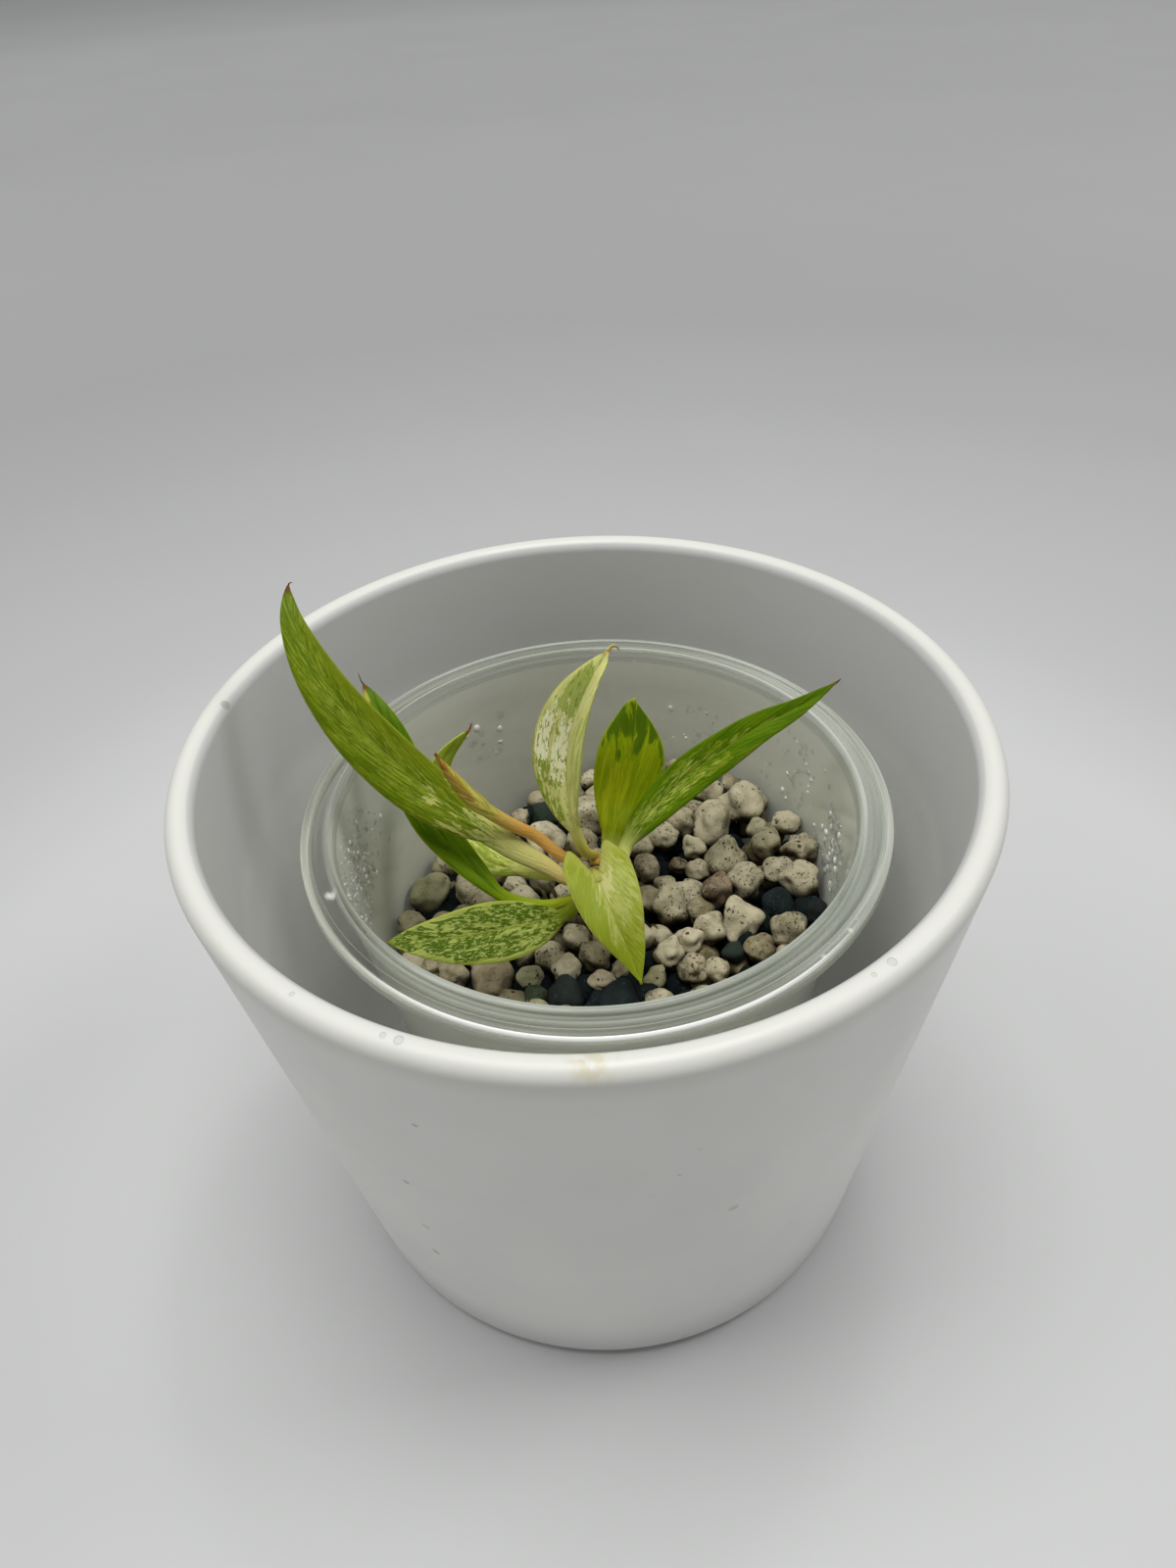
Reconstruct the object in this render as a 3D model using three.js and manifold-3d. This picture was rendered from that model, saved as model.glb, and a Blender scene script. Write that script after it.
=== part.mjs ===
// A young variegated philodendron in its grow cup, standing in a white cover pot.
// Millimetres, +Z up. The origin is the middle of the pot's underside.
import * as THREE from "three";
import { mergeVertices } from "three/addons/utils/BufferGeometryUtils.js";
import Module from "manifold-3d";

// Driving dimensions of the cover pot.
const RIM_RADIUS = 50;
const BASE_RADIUS = 39.4;
const POT_HEIGHT = 80;
const POT_FLOOR = 3;
const RIM_ROUND = 1.75;
const BASE_ROUND = 3;
const FLOOR_FILLET = 2;
const POT_SIDES = 56;

// Driving dimensions of the clear cup, which stands on the pot's floor.
const CUP_X = 1;
const CUP_WALL = 0.85;
const CUP_SIDES = 44;
const CUP_TOP = 69;
const FLANGE_RADIUS = 37.4;
const FLANGE_THICKNESS = 0.9;
const LIP_DEPTH = 2.4;
const MOUTH_RADIUS = 33.2;
const CUP_FLOOR_RADIUS = 24.1;
const FOOT_HEIGHT = 0.9;
const FOOT_WIDTH = 1.2;
const FOOT_INSET = 0.4;
const CORNER_CUT = 1.2;
const BAND_DROP = 0.2;
const BEAD_RADIUS = 0.6;
const GROOVE_WIDTH = 0.7;
const GROOVE_DEPTH = 0.25;
const LIP_EDGE = 0.5;

// The gap that keeps neighbouring pieces from touching.
const GAP = 0.3;
const CUP_BASE = POT_FLOOR + GAP;
const CUP_FLOOR = CUP_BASE + FOOT_HEIGHT + CUP_WALL;

// The growing medium: its surface slopes up to the right and back.
const SURFACE = { middle: 48.4, slopeX: 0.13, twist: 0.004 };
const BED_DROP = 0.8;
const BED_RINGS = [24, 16, 8];
const BED_SIDES = 24;
const ROOM_DROP = 6;
const WALL_SINK = 0.4;
const SEED = 20117;
const FILL_PASSES = [
  { tries: 4000, low: 1.9, high: 2.5, drop: 0.5, packing: 0.95 },
  { tries: 1500, low: 1.3, high: 1.7, drop: 0.5, packing: 0.95 },
];
const GROUND_DEPTH = 2;
const GROUND_SIDES = 12;
const NECK = 0.7;
const NECK_DEPTH = 4;
const NECK_SIDES = 8;
const LUMP = 0.13;

// The grains that stand out, each with its x, y and radius.
const LANDMARKS = [
  [11, 12, 2.3], [8, 6.5, 1.9], [18, 12.5, 3], [23, 15.5, 3.2], [28, 10, 2.1], [25, 7, 2.2],
  [29.5, 5, 2.2], [28.5, 0, 2.4], [26, 2, 1.8], [19, 5, 2.6], [21, 1, 2.2], [15, 8.5, 1.7],
  [12.5, 6, 1.3], [15, 4.5, 1.5], [11, -1, 2.6], [13.5, 0.5, 1.6], [17, 0, 2.2], [14.5, -3, 1.7],
  [19.5, -6, 2.5], [15.5, -6, 2], [12.5, -7.5, 1.8], [9.5, -9.5, 2.3], [12.5, -12.5, 1.9],
  [15.5, -13, 1.5], [25.5, -8, 2.2], [21.5, -10.5, 1.9], [8, 0.5, 1.8], [0, -8, 2.2],
  [0.5, -12.5, 1.4], [-4, -10, 1.7], [-9, -10.5, 1.6], [-2.4, -4.3, 1.9], [1.4, -4.7, 1.7],
  [3, -11, 1.2],
  [-14, -10, 2.9], [-6.5, 16.5, 2.7], [0, 19.5, 3.4], [-10.5, 23, 1.8], [-11.5, 16.5, 1.6],
  [14, 25.5, 1.8], [18.5, 19, 1.9], [13.5, 14.5, 2.2], [14.5, 20.5, 1.6], [7.5, 11, 1.9],
  [1, 27.5, 1.8], [-2, 25.5, 1.7], [-11, 7.5, 1.6], [-23.5, 9.5, 2.8], [-21.5, 15, 2.2],
  [-17.5, 7.5, 1.9], [-26, 3.5, 2], [-15, 5, 1.8], [-22, -6.5, 1.6], [-19.5, -8, 1.7],
  [-18, 2.5, 1.8], [-8.5, 13.5, 1.8],
];

// Where dark grains show between the pale ones: a node name with circles of x, y and radius.
const DARK_PATCHES = {
  dark_grains_right: [[24.5, -3.5, 4.8], [28.5, -4, 3], [20, -7.5, 3], [16, -9.7, 2.4]],
  dark_grains_front: [[-6.5, -10.5, 3.4], [-1.5, -12.5, 3.6], [4, -14, 3], [-8.5, -13, 2.6]],
  dark_grains_back: [[-7, 22, 3.6], [-4, 23, 2.5]],
};

// The crown: a short stem that stands in a plain hole in the medium.
const CROWN = { x: 0.4, y: -0.6, z: 54.5, radius: 2.2, stem: 1.6, bottom: 41, neck: 0.6 };
const CROWN_SIDES = 14;
const HOLE_SIDES = 16;
const SEAT = CROWN.radius + GAP + 0.1;
const FOOT = 1.1;

// Blades are drawn thicker than life. A blade opens from its stalk and turns flat over the first
// shares of its length, and its fold fades over the last share. Lobes reach back over a share of
// it, and fade by a power.
const BLADE_THICKNESS = 0.7;
const EDGE_THICKNESS = 0.6;
const OPENS_BY = 0.15;
const FADES_OVER = 0.12;
const FLAT_BY = 0.3;
const LOBE_ENDS = 0.45;
const LOBE_FADE = 1.3;
const LOBE_SWELL = 0.68;
const STALK_ROUND = 0.85;
const FURL_THICKNESS = 1.7;
const STALK_STEPS = 3;
const BLADE_STEPS = 13;

// Where the points of a row lie, as shares of the half width from the left edge to the right.
const COLUMNS = [-1, -0.5, 0, 0.5, 1];

// The stalk under a lobed blade: its columns, and the share of the blade that it runs into.
const UNDER_COLUMNS = [-1, -0.35, 0.35, 1];
const UNDER_BLADE = 0.11;

// The foot of a leaf stalk: two points straight out of the crown's middle, from its skin on.
function foot(dx, dy, dz) {
  return [SEAT, SEAT + FOOT].map((reach) => {
    const out = new THREE.Vector3(dx, dy, dz).setLength(reach);
    return [CROWN.x + out.x, CROWN.y + out.y, CROWN.z + out.z];
  });
}

// Each leaf: the midrib from stalk to tip, the share of it that is stalk, the stalk's width and
// thickness at both ends, the greatest half widths and where they lie, how the outline rises and
// tapers, the angles in degrees by which each half rises at the rib and at the edge, and the
// direction that the upper side faces at the base, middle and tip. Left comes before right.
const LEAVES = {
  leaf_long_left: {
    spine: [...foot(-0.93, -0.1, 0.35), [-6, -0.6, 58.5], [-10.5, 0, 62], [-18.3, 1.5, 69],
      [-25.8, 4, 77], [-31, 7.5, 84], [-34.6, 13, 90], [-35.5, 17, 93]],
    stalk: 0.19, stalkBase: [1.5, 1.2], stalkTop: [3.2, 1.6],
    half: [4.2, 3.2], belly: 0.38, rise: 0.9, taper: [0.6, 0.8],
    fold: [[10, -8], [10, -8]], face: [[0.2, -0.6, 0.8], [0.2, -0.72, 0.66], [0.1, -0.9, 0.4]],
    color: 0x7f9c38,
  },
  leaf_furled: {
    spine: [...foot(-0.6, 0.45, 0.66), [-3.5, 0.7, 58.5], [-7, 1.5, 62], [-10, 0.5, 65.3],
      [-13.4, -1.2, 70.4], [-16, -1.4, 75], [-18, -1, 79]],
    stalk: 0.55, stalkBase: [1.5, 1.3], stalkTop: [1.8, 1.6], furled: true,
    half: [1.1, 1.1], belly: 0.3, rise: 0.8, taper: [0.8, 0.8],
    fold: [[0, 0], [0, 0]], face: [[0.4, -0.6, 0.7], [0.4, -0.6, 0.7], [0.4, -0.6, 0.7]],
    color: 0xb98a4a,
  },
  leaf_dark_left: {
    spine: [...foot(-0.85, -0.35, -0.38), [-6, -3.2, 53.5], [-9.2, -3.5, 54.5], [-12, -3.2, 56],
      [-15, -1.4, 58.5], [-18, 1, 61], [-20.5, 3, 64], [-23, 6.7, 68], [-25, 10.5, 73.5],
      [-28.5, 16, 78]],
    stalk: 0.2, stalkBase: [1.5, 1.2], stalkTop: [1.8, 1.4],
    half: [2.6, 2.6], belly: 0.5, rise: 0.8, taper: [0.6, 0.6],
    fold: [[20, 0], [20, 0]], face: [[0, -0.6, 0.8], [0.3, -0.6, 0.7], [0.3, -0.8, 0.5]],
    color: 0x45701c,
  },
  leaf_mottled: {
    spine: [...foot(-0.5, -0.86, 0.08), [-3.4, -6.2, 55], [-6, -8, 56], [-9.5, -10.6, 58],
      [-16.7, -15, 61.5], [-21, -16.6, 63], [-24.5, -18, 64.5]],
    stalk: 0.16, stalkBase: [1.5, 1.2], stalkTop: [1.8, 1.3],
    half: [4.2, 3.6], belly: 0.45, rise: 0.6, taper: [0.75, 0.75],
    fold: [[8, 0], [8, 0]], face: [[0.2, -0.45, 0.87], [0.25, -0.5, 0.83], [0.3, -0.4, 0.85]],
    color: 0x7f9960,
  },
  leaf_back_left: {
    spine: [...foot(-0.75, 0.62, -0.1), [-6, 0.6, 55.5], [-9.7, 1.5, 56], [-13.6, 2.5, 56.5],
      [-17.6, 5, 58], [-20.4, 9, 60.5], [-20.7, 12.4, 63], [-19, 14, 66.5], [-15.3, 15.2, 70]],
    stalk: 0.2, stalkBase: [1.4, 1.1], stalkTop: [1.6, 1.2],
    half: [2.4, 2.4], belly: 0.35, rise: 0.8, taper: [0.7, 0.7],
    fold: [[15, 0], [15, 0]], face: [[0, -0.5, 0.85], [0.4, -0.4, 0.8], [0.6, -0.75, 0.2]],
    color: 0xb5bd7c,
  },
  leaf_cream: {
    spine: [...foot(0.1, 0.85, 0.5), [-0.6, 1, 59], [-1.7, 1.2, 63], [-2.2, 3.4, 69],
      [-1.6, 5.3, 74], [0, 6.8, 79], [2, 8.1, 82.5], [3.9, 9.9, 84.8]],
    stalk: 0.22, stalkBase: [1.5, 1.2], stalkTop: [1.6, 1.3],
    half: [4.9, 3.2], belly: 0.47, rise: 0.9, taper: [0.85, 0.7],
    fold: [[4, -10], [62, 40]],
    face: [[-0.2, -0.75, 0.5], [-0.15, -0.85, 0.5], [-0.1, -0.85, 0.5]],
    color: 0xd0d2a0,
  },
  leaf_broad_back: {
    spine: [...foot(0.75, 0.6, 0.1), [3.2, 3.8, 58.5], [4.8, 8, 62.5], [6.5, 11, 67],
      [7.3, 13.5, 70], [7.5, 15.8, 73]],
    stalk: 0.15, stalkBase: [1.6, 1.2], stalkTop: [3, 1.3],
    half: [4.7, 4.7], belly: 0.6, rise: 0.9, taper: [0.65, 1.3],
    fold: [[14, 6], [14, 6]], face: [[0, -0.75, 0.6], [0, -0.75, 0.6], [0, -0.8, 0.5]],
    color: 0x4f7414,
  },
  leaf_right: {
    spine: [...foot(0.85, 0, 0.52), [5, 2.1, 58.7], [8, 3.5, 62.5], [13.7, 4.8, 68],
      [18, 4.5, 72], [22.4, 4.4, 75.5], [27, 4, 78.5], [31.7, 4, 82]],
    stalk: 0.1, stalkBase: [1.6, 1.2], stalkTop: [1.9, 1.3],
    half: [2.6, 2.9], belly: 0.38, rise: 0.6, taper: [0.85, 0.85],
    fold: [[18, 5], [18, 5]],
    face: [[-0.3, -0.7, 0.6], [-0.4, -0.7, 0.55], [-0.4, -0.7, 0.6]],
    color: 0x5f8c28,
  },
  leaf_heart: {
    spine: [...foot(0.02, -0.55, 0.84), [0.4, -3.2, 58.7], [0.5, -4.1, 59.8], [0.8, -5.8, 60.6],
      [1.4, -8.4, 60.4], [2.6, -12, 59], [4.2, -14.8, 56], [5.4, -17.3, 53]],
    stalk: 0.23, stalkBase: [1.4, 1.1], stalkTop: [1.4, 1.1],
    half: [4.9, 4.1], belly: 0.12, rise: 1, taper: [1.05, 1.05], shoulder: 0.8, lobe: [4.6, 3.8],
    fold: [[16, -5], [16, -5]], face: [[0, 0.6, 0.8], [0, -0.6, 0.8], [0, -0.75, 0.6]],
    color: 0xa9bf5a,
  },
};

const POT_COLOR = { color: 0xf1f0ee, roughness: 0.45 };
const CUP_COLOR = { color: 0xd9dedb, roughness: 0.25, transparent: true, opacity: 0.4 };
const PALE_COLOR = { color: 0xc6c0b0, roughness: 0.95 };
const DARK_COLOR = { color: 0x1d2b2c, roughness: 0.9 };
const CROWN_COLOR = { color: 0x9a7a45, roughness: 0.6 };

const wasm = await Module();
wasm.setup();

// A closed geometry as a solid that can be joined and cut.
function solid(geometry) {
  const bare = geometry.clone();
  bare.deleteAttribute("normal");
  bare.deleteAttribute("uv");
  const merged = mergeVertices(bare, 1e-4);
  return new wasm.Manifold(
    new wasm.Mesh({
      numProp: 3,
      vertProperties: merged.attributes.position.array,
      triVerts: new Uint32Array(merged.index.array),
    }),
  );
}

// A joined or cut solid as a geometry again.
function geometryOf(body) {
  const mesh = body.getMesh();
  const geometry = new THREE.BufferGeometry();
  const points = new Float32Array(mesh.numVert * 3);
  for (let i = 0; i < mesh.numVert; i++)
    for (let k = 0; k < 3; k++)
      points[i * 3 + k] = mesh.vertProperties[i * mesh.numProp + k];
  geometry.setAttribute("position", new THREE.BufferAttribute(points, 3));
  geometry.setIndex(new THREE.BufferAttribute(new Uint32Array(mesh.triVerts), 1));
  return geometry;
}

// A named mesh with smooth normals and a material of its own.
function piece(name, geometry, look) {
  geometry.computeVertexNormals();
  const mesh = new THREE.Mesh(
    geometry,
    new THREE.MeshStandardMaterial({ metalness: 0, ...look }),
  );
  mesh.name = name;
  return mesh;
}

// A profile of [radius, height] pairs turned round the vertical axis.
function turned(profile, sides) {
  const geometry = new THREE.LatheGeometry(
    profile.map(([r, z]) => new THREE.Vector2(r, z)),
    sides,
  );
  return geometry.rotateX(Math.PI / 2);
}

// Points of an arc in the profile's plane, with its angles in radians.
function arc(r, z, radius, from, to, steps) {
  const points = [];
  for (let i = 0; i <= steps; i++) {
    const a = from + ((to - from) * i) / steps;
    points.push([r + radius * Math.cos(a), z + radius * Math.sin(a)]);
  }
  return points;
}

// The cover pot: a cone with a rounded rim and base edge.
function coverPot() {
  const lean = Math.atan((RIM_RADIUS - BASE_RADIUS) / POT_HEIGHT);
  const rimR = RIM_RADIUS - RIM_ROUND;
  const rimZ = POT_HEIGHT - RIM_ROUND;
  const baseR = BASE_RADIUS + BASE_ROUND * Math.tan(lean) - BASE_ROUND / Math.cos(lean);
  const innerR = rimR - RIM_ROUND * Math.cos(lean);
  const innerZ = rimZ + RIM_ROUND * Math.sin(lean);
  const cornerR = innerR - (innerZ - POT_FLOOR) * Math.tan(lean);
  const filletR = cornerR - FLOOR_FILLET;
  return turned(
    [
      [0, 0],
      ...arc(baseR, BASE_ROUND, BASE_ROUND, -Math.PI / 2, -lean, 4),
      ...arc(rimR, rimZ, RIM_ROUND, -lean, Math.PI - lean, 7),
      ...arc(filletR, POT_FLOOR + FLOOR_FILLET, FLOOR_FILLET, 0, -Math.PI / 2, 3),
      [0, POT_FLOOR],
    ],
    POT_SIDES,
  );
}

// The cup's inner radius at a height.
function cupRadius(z) {
  const share = (z - CUP_FLOOR) / (CUP_TOP - CUP_FLOOR);
  return CUP_FLOOR_RADIUS + share * (MOUTH_RADIUS - CUP_FLOOR_RADIUS);
}

// The clear cup: a thin tapered wall on a foot ring, with a beaded flange and a turned-down lip.
function clearCup() {
  const under = CUP_TOP - FLANGE_THICKNESS;
  const band = CUP_TOP - BAND_DROP;
  const footR = CUP_FLOOR_RADIUS - FOOT_INSET;
  const lipR = FLANGE_RADIUS - FLANGE_THICKNESS;
  const beadR = MOUTH_RADIUS + BEAD_RADIUS;
  const grooveR = beadR + BEAD_RADIUS + GROOVE_WIDTH / 2;
  return turned(
    [
      [0, CUP_BASE + FOOT_HEIGHT],
      [footR - FOOT_WIDTH - FOOT_INSET, CUP_BASE + FOOT_HEIGHT],
      [footR - FOOT_WIDTH, CUP_BASE],
      [footR, CUP_BASE],
      [CUP_FLOOR_RADIUS + CUP_WALL, CUP_BASE + CORNER_CUT],
      [cupRadius(under) + CUP_WALL, under],
      [lipR, under],
      [lipR, CUP_TOP - LIP_DEPTH],
      [FLANGE_RADIUS, CUP_TOP - LIP_DEPTH],
      [FLANGE_RADIUS, band - LIP_EDGE],
      [FLANGE_RADIUS - LIP_EDGE, band],
      [grooveR + GROOVE_WIDTH / 2, band],
      [grooveR, band - GROOVE_DEPTH],
      ...arc(beadR, band, BEAD_RADIUS, 0, Math.PI, 4),
      [cupRadius(CUP_FLOOR + CORNER_CUT), CUP_FLOOR + CORNER_CUT],
      [CUP_FLOOR_RADIUS - CORNER_CUT, CUP_FLOOR],
      [0, CUP_FLOOR],
    ],
    CUP_SIDES,
  ).translate(CUP_X, 0, 0);
}

// The height of the grains' middles over a point of the medium.
function surfaceAt(x, y) {
  return SURFACE.middle + SURFACE.slopeX * x + SURFACE.twist * x * y;
}

// Even random numbers from a seed.
function seededRandom(seed) {
  let state = seed;
  return () => {
    state = (state + 0x6d2b79f5) | 0;
    let t = Math.imul(state ^ (state >>> 15), 1 | state);
    t = (t + Math.imul(t ^ (t >>> 7), 61 | t)) ^ t;
    return ((t ^ (t >>> 14)) >>> 0) / 4294967296;
  };
}

// The dark patch that holds a point, or none.
function patchAt(x, y) {
  for (const [name, circles] of Object.entries(DARK_PATCHES))
    if (circles.some(([cx, cy, r]) => Math.hypot(x - cx, y - cy) < r)) return name;
  return null;
}

// Every grain: the landmarks, then smaller ones dropped wherever there is room.
function placeGrains() {
  const random = seededRandom(SEED);
  const grains = LANDMARKS.map(([x, y, r]) => ({
    x, y, r, z: surfaceAt(x, y), patch: null, turn: random() * Math.PI,
  }));
  for (const { tries, low, high, drop, packing } of FILL_PASSES) {
    for (let i = 0; i < tries; i++) {
      const angle = random() * 2 * Math.PI;
      const reach = Math.sqrt(random()) * MOUTH_RADIUS;
      const r = low + random() * (high - low);
      const turn = random() * Math.PI;
      const x = CUP_X + reach * Math.cos(angle);
      const y = reach * Math.sin(angle);
      const z = surfaceAt(x, y) - drop;
      if (reach + r > cupRadius(z) + WALL_SINK) continue;
      if (Math.hypot(x - CROWN.x, y - CROWN.y) < r + CROWN.stem) continue;
      if (grains.some((g) => Math.hypot(g.x - x, g.y - y) < (g.r + r) * packing)) continue;
      grains.push({ x, y, r, z, patch: patchAt(x, y), turn });
    }
  }
  return grains;
}

// One lumpy grain with few faces, made larger by grow.
function grainSolid({ x, y, z, r, turn }, grow) {
  const geometry = new THREE.IcosahedronGeometry(1);
  const at = geometry.attributes.position;
  const p = new THREE.Vector3();
  for (let i = 0; i < at.count; i++) {
    p.fromBufferAttribute(at, i);
    const lump = Math.sin(3 * p.x + 5 * turn) + Math.sin(4 * p.y + 3 * turn) * Math.cos(2 * p.z);
    p.setLength(r * (1 + LUMP * lump) + grow);
    at.setXYZ(i, p.x, p.y, p.z);
  }
  return solid(geometry.rotateZ(turn).rotateX(turn).translate(x, y, z));
}

// The room inside the cup that the medium may fill.
function cupRoom() {
  const low = CUP_FLOOR + GAP;
  const cut = low + CORNER_CUT;
  const high = CUP_TOP - ROOM_DROP;
  const profile = [
    [0, low],
    [CUP_FLOOR_RADIUS - CORNER_CUT, low],
    [cupRadius(cut) - GAP, cut],
    [cupRadius(high) - GAP, high],
    [0, high],
  ];
  return solid(turned(profile, CUP_SIDES).translate(CUP_X, 0, 0));
}

// The bed under the grains: it fills the cup up to a sloping top.
function bedSolid(grow) {
  const top = SURFACE.middle;
  const rings = [MOUTH_RADIUS, ...BED_RINGS].map((r) => [r, top]);
  const profile = [[0, 0], [MOUTH_RADIUS, 0], ...rings, [0, top]];
  const geometry = turned(profile, BED_SIDES).translate(CUP_X, 0, 0);
  const at = geometry.attributes.position;
  for (let i = 0; i < at.count; i++)
    if (at.getZ(i) > top - 1)
      at.setZ(i, surfaceAt(at.getX(i), at.getY(i)) - BED_DROP + grow);
  return solid(geometry);
}

// The plain hole that the crown's stem stands in.
function crownHole() {
  const radius = CROWN.stem + GAP;
  const depth = CUP_TOP - CROWN.bottom;
  const hole = new THREE.CylinderGeometry(radius, radius, depth, HOLE_SIDES);
  hole.rotateX(Math.PI / 2).translate(CROWN.x, CROWN.y, CROWN.bottom - GAP + depth / 2);
  return solid(hole);
}

// An upright post under a point of the bed's top, from a depth up to a height over the top.
function post(x, y, radius, depth, height, sides) {
  const block = new THREE.CylinderGeometry(radius, radius, depth + height, sides);
  const top = surfaceAt(x, y) - BED_DROP;
  return solid(block.rotateX(Math.PI / 2).translate(x, y, top + (height - depth) / 2));
}

// The ground that a dark patch's grains stand in, or with room above it the pit that holds it.
function patchGround(circles, grow, height) {
  const depth = GROUND_DEPTH + grow;
  return wasm.Manifold.union(
    circles.map(([x, y, r]) => post(x, y, r + grow, depth, height, GROUND_SIDES)),
  );
}

// The largest connected body of a solid; loose scraps are dropped.
function largest(body) {
  const parts = body.decompose();
  return parts.reduce((a, b) => (a.volume() > b.volume() ? a : b));
}

// The grains of a list as one solid, each made larger by grow.
function joined(grains, grow) {
  return wasm.Manifold.union(grains.map((grain) => grainSolid(grain, grow)));
}

// The necks that carry the pale grains standing in a dark patch's pit, made wider by grow.
function necks(grains, grow) {
  return wasm.Manifold.union(
    grains.map(({ x, y, r }) => post(x, y, NECK * r + grow, NECK_DEPTH, BED_DROP, NECK_SIDES)),
  );
}

// The growing medium: the bed and pale grains in one body, and each dark patch as its own.
function growingMedium() {
  const grains = placeGrains();
  const room = cupRoom();
  const patches = Object.entries(DARK_PATCHES);
  const pits = wasm.Manifold.union(
    patches.map(([, circles]) => patchGround(circles, GAP, GROUND_DEPTH)),
  );
  const pale = grains.filter((grain) => grain.patch === null);
  const inPits = pale.filter((grain) => patchAt(grain.x, grain.y) !== null);
  const body = bedSolid(0).subtract(pits).add(necks(inPits, 0)).add(joined(pale, 0));
  const paleBody = largest(body.intersect(room).subtract(crownHole()));
  const clearOfPale = joined(pale, GAP).add(necks(inPits, GAP));
  const meshes = [piece("pale_grains", geometryOf(paleBody), PALE_COLOR)];
  for (const [name, circles] of patches) {
    const own = grains.filter((grain) => grain.patch === name);
    const dark = joined(own, 0).add(patchGround(circles, 0, 0));
    const bed = bedSolid(GAP).subtract(patchGround(circles, 0, GROUND_DEPTH));
    const body = largest(dark.intersect(room).subtract(bed.add(clearOfPale)));
    meshes.push(piece(name, geometryOf(body), DARK_COLOR));
  }
  return meshes;
}

// The crown: a stem that swells to a round head, where the leaf stalks start.
function crown() {
  const { x, y, z, radius, stem, bottom, neck } = CROWN;
  const profile = [
    [0, bottom],
    [stem - GAP, bottom],
    [stem, bottom + GAP],
    [stem, z - radius - neck],
    ...arc(0, z, radius, -Math.PI / 4, Math.PI / 2, 6).slice(0, -1),
    [0, z + radius],
  ];
  return turned(profile, CROWN_SIDES).translate(x, y, 0);
}

// Evenly spaced places on a smooth curve through the midrib's points.
function midrib(points) {
  const curve = new THREE.CatmullRomCurve3(
    points.map((p) => new THREE.Vector3(...p)),
    false,
    "centripetal",
  );
  curve.arcLengthDivisions = 400;
  return curve;
}

// The share of the greatest half width at a place along the blade, from 0 at its base to 1.
function outline(leaf, along, side) {
  const { belly, rise, taper, shoulder = 0 } = leaf;
  if (along < belly) {
    const swell = Math.sin(((Math.PI / 2) * along) / belly) ** rise;
    return shoulder + (1 - shoulder) * swell;
  }
  const fall = Math.cos(((Math.PI / 2) * (along - belly)) / (1 - belly));
  return Math.max(fall, 0) ** taper[side];
}

// The direction that the upper side faces at a share of the midrib.
function facing(leaf, share) {
  const x = share * 2;
  const i = Math.min(Math.floor(x), 1);
  const from = new THREE.Vector3(...leaf.face[i]);
  return from.lerp(new THREE.Vector3(...leaf.face[i + 1]), x - i);
}

// How far the leaf's half on one side reaches out at a share of it, where it bends from the
// rib's angle to the edge's along an arc, and how far it rises there.
function bent(half, u, rib, edge) {
  const bend = edge - rib;
  const angle = rib + bend * u;
  if (Math.abs(bend) < 1e-6)
    return { angle, out: half * u * Math.cos(rib), lift: half * u * Math.sin(rib) };
  return {
    angle,
    out: (half * (Math.sin(angle) - Math.sin(rib))) / bend,
    lift: (-half * (Math.cos(angle) - Math.cos(rib))) / bend,
  };
}

// The leaf's thickness at a share of its half, which is round on the stalk and then turns flat.
function thicknessAt(leaf, blade, u, half, stalkThickness) {
  const whole = leaf.furled && blade > 0 ? FURL_THICKNESS * half : stalkThickness;
  const round = whole * Math.sqrt(1 - STALK_ROUND * u * u);
  const flat = leaf.lobe && blade >= 0 ? 1 : THREE.MathUtils.clamp(blade / FLAT_BY, 0, 1);
  const thickness = leaf.furled ? round : THREE.MathUtils.lerp(round, BLADE_THICKNESS, flat);
  return Math.max(thickness, EDGE_THICKNESS);
}

// The upper and lower row of points across a leaf at a share of its midrib.
function crossRows(leaf, curve, share, columns, onStalk) {
  const centre = curve.getPointAt(share);
  const along = curve.getTangentAt(share);
  const up = facing(leaf, share);
  up.addScaledVector(along, -up.dot(along)).normalize();
  const right = new THREE.Vector3().crossVectors(along, up);
  const back = curve.getTangentAt(leaf.stalk + FLAT_BY * (1 - leaf.stalk)).negate();
  const blade = onStalk ? -1 : (share - leaf.stalk) / (1 - leaf.stalk);
  const grown = Math.min(share / leaf.stalk, 1);
  const [wide, thick] = [0, 1].map((k) =>
    THREE.MathUtils.lerp(leaf.stalkBase[k], leaf.stalkTop[k], grown),
  );
  const opened = leaf.lobe ? 1 : THREE.MathUtils.clamp(blade / OPENS_BY, 0, 1);
  const open = opened * THREE.MathUtils.clamp((1 - blade) / FADES_OVER, 0, 1);
  const narrowest = blade > 0.5 ? EDGE_THICKNESS / 2 : wide / 2;
  const rows = [[], []];
  for (const column of columns) {
    const side = column < 0 ? 0 : 1;
    const sign = column < 0 ? -1 : 1;
    const u = Math.abs(column);
    const half = onStalk
      ? wide / 2
      : Math.max(leaf.half[side] * outline(leaf, blade, side), narrowest);
    const [rib, edge] = leaf.fold[side].map((d) => THREE.MathUtils.degToRad(onStalk ? 0 : d * open));
    const { angle, out, lift } = bent(half, u, rib, edge);
    const at = centre.clone()
      .addScaledVector(right, sign * out)
      .addScaledVector(up, lift)
      .addScaledVector(back, onStalk ? 0 : sweep(leaf, side, blade, u));
    const tilt = u === 0 ? 0 : sign * angle;
    const normal = up.clone().multiplyScalar(Math.cos(tilt)).addScaledVector(right, -Math.sin(tilt));
    const reach = thicknessAt(leaf, blade, u, half, thick) / 2;
    rows[0].push(at.clone().addScaledVector(normal, reach));
    rows[1].push(at.clone().addScaledVector(normal, -reach));
  }
  return rows;
}

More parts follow.
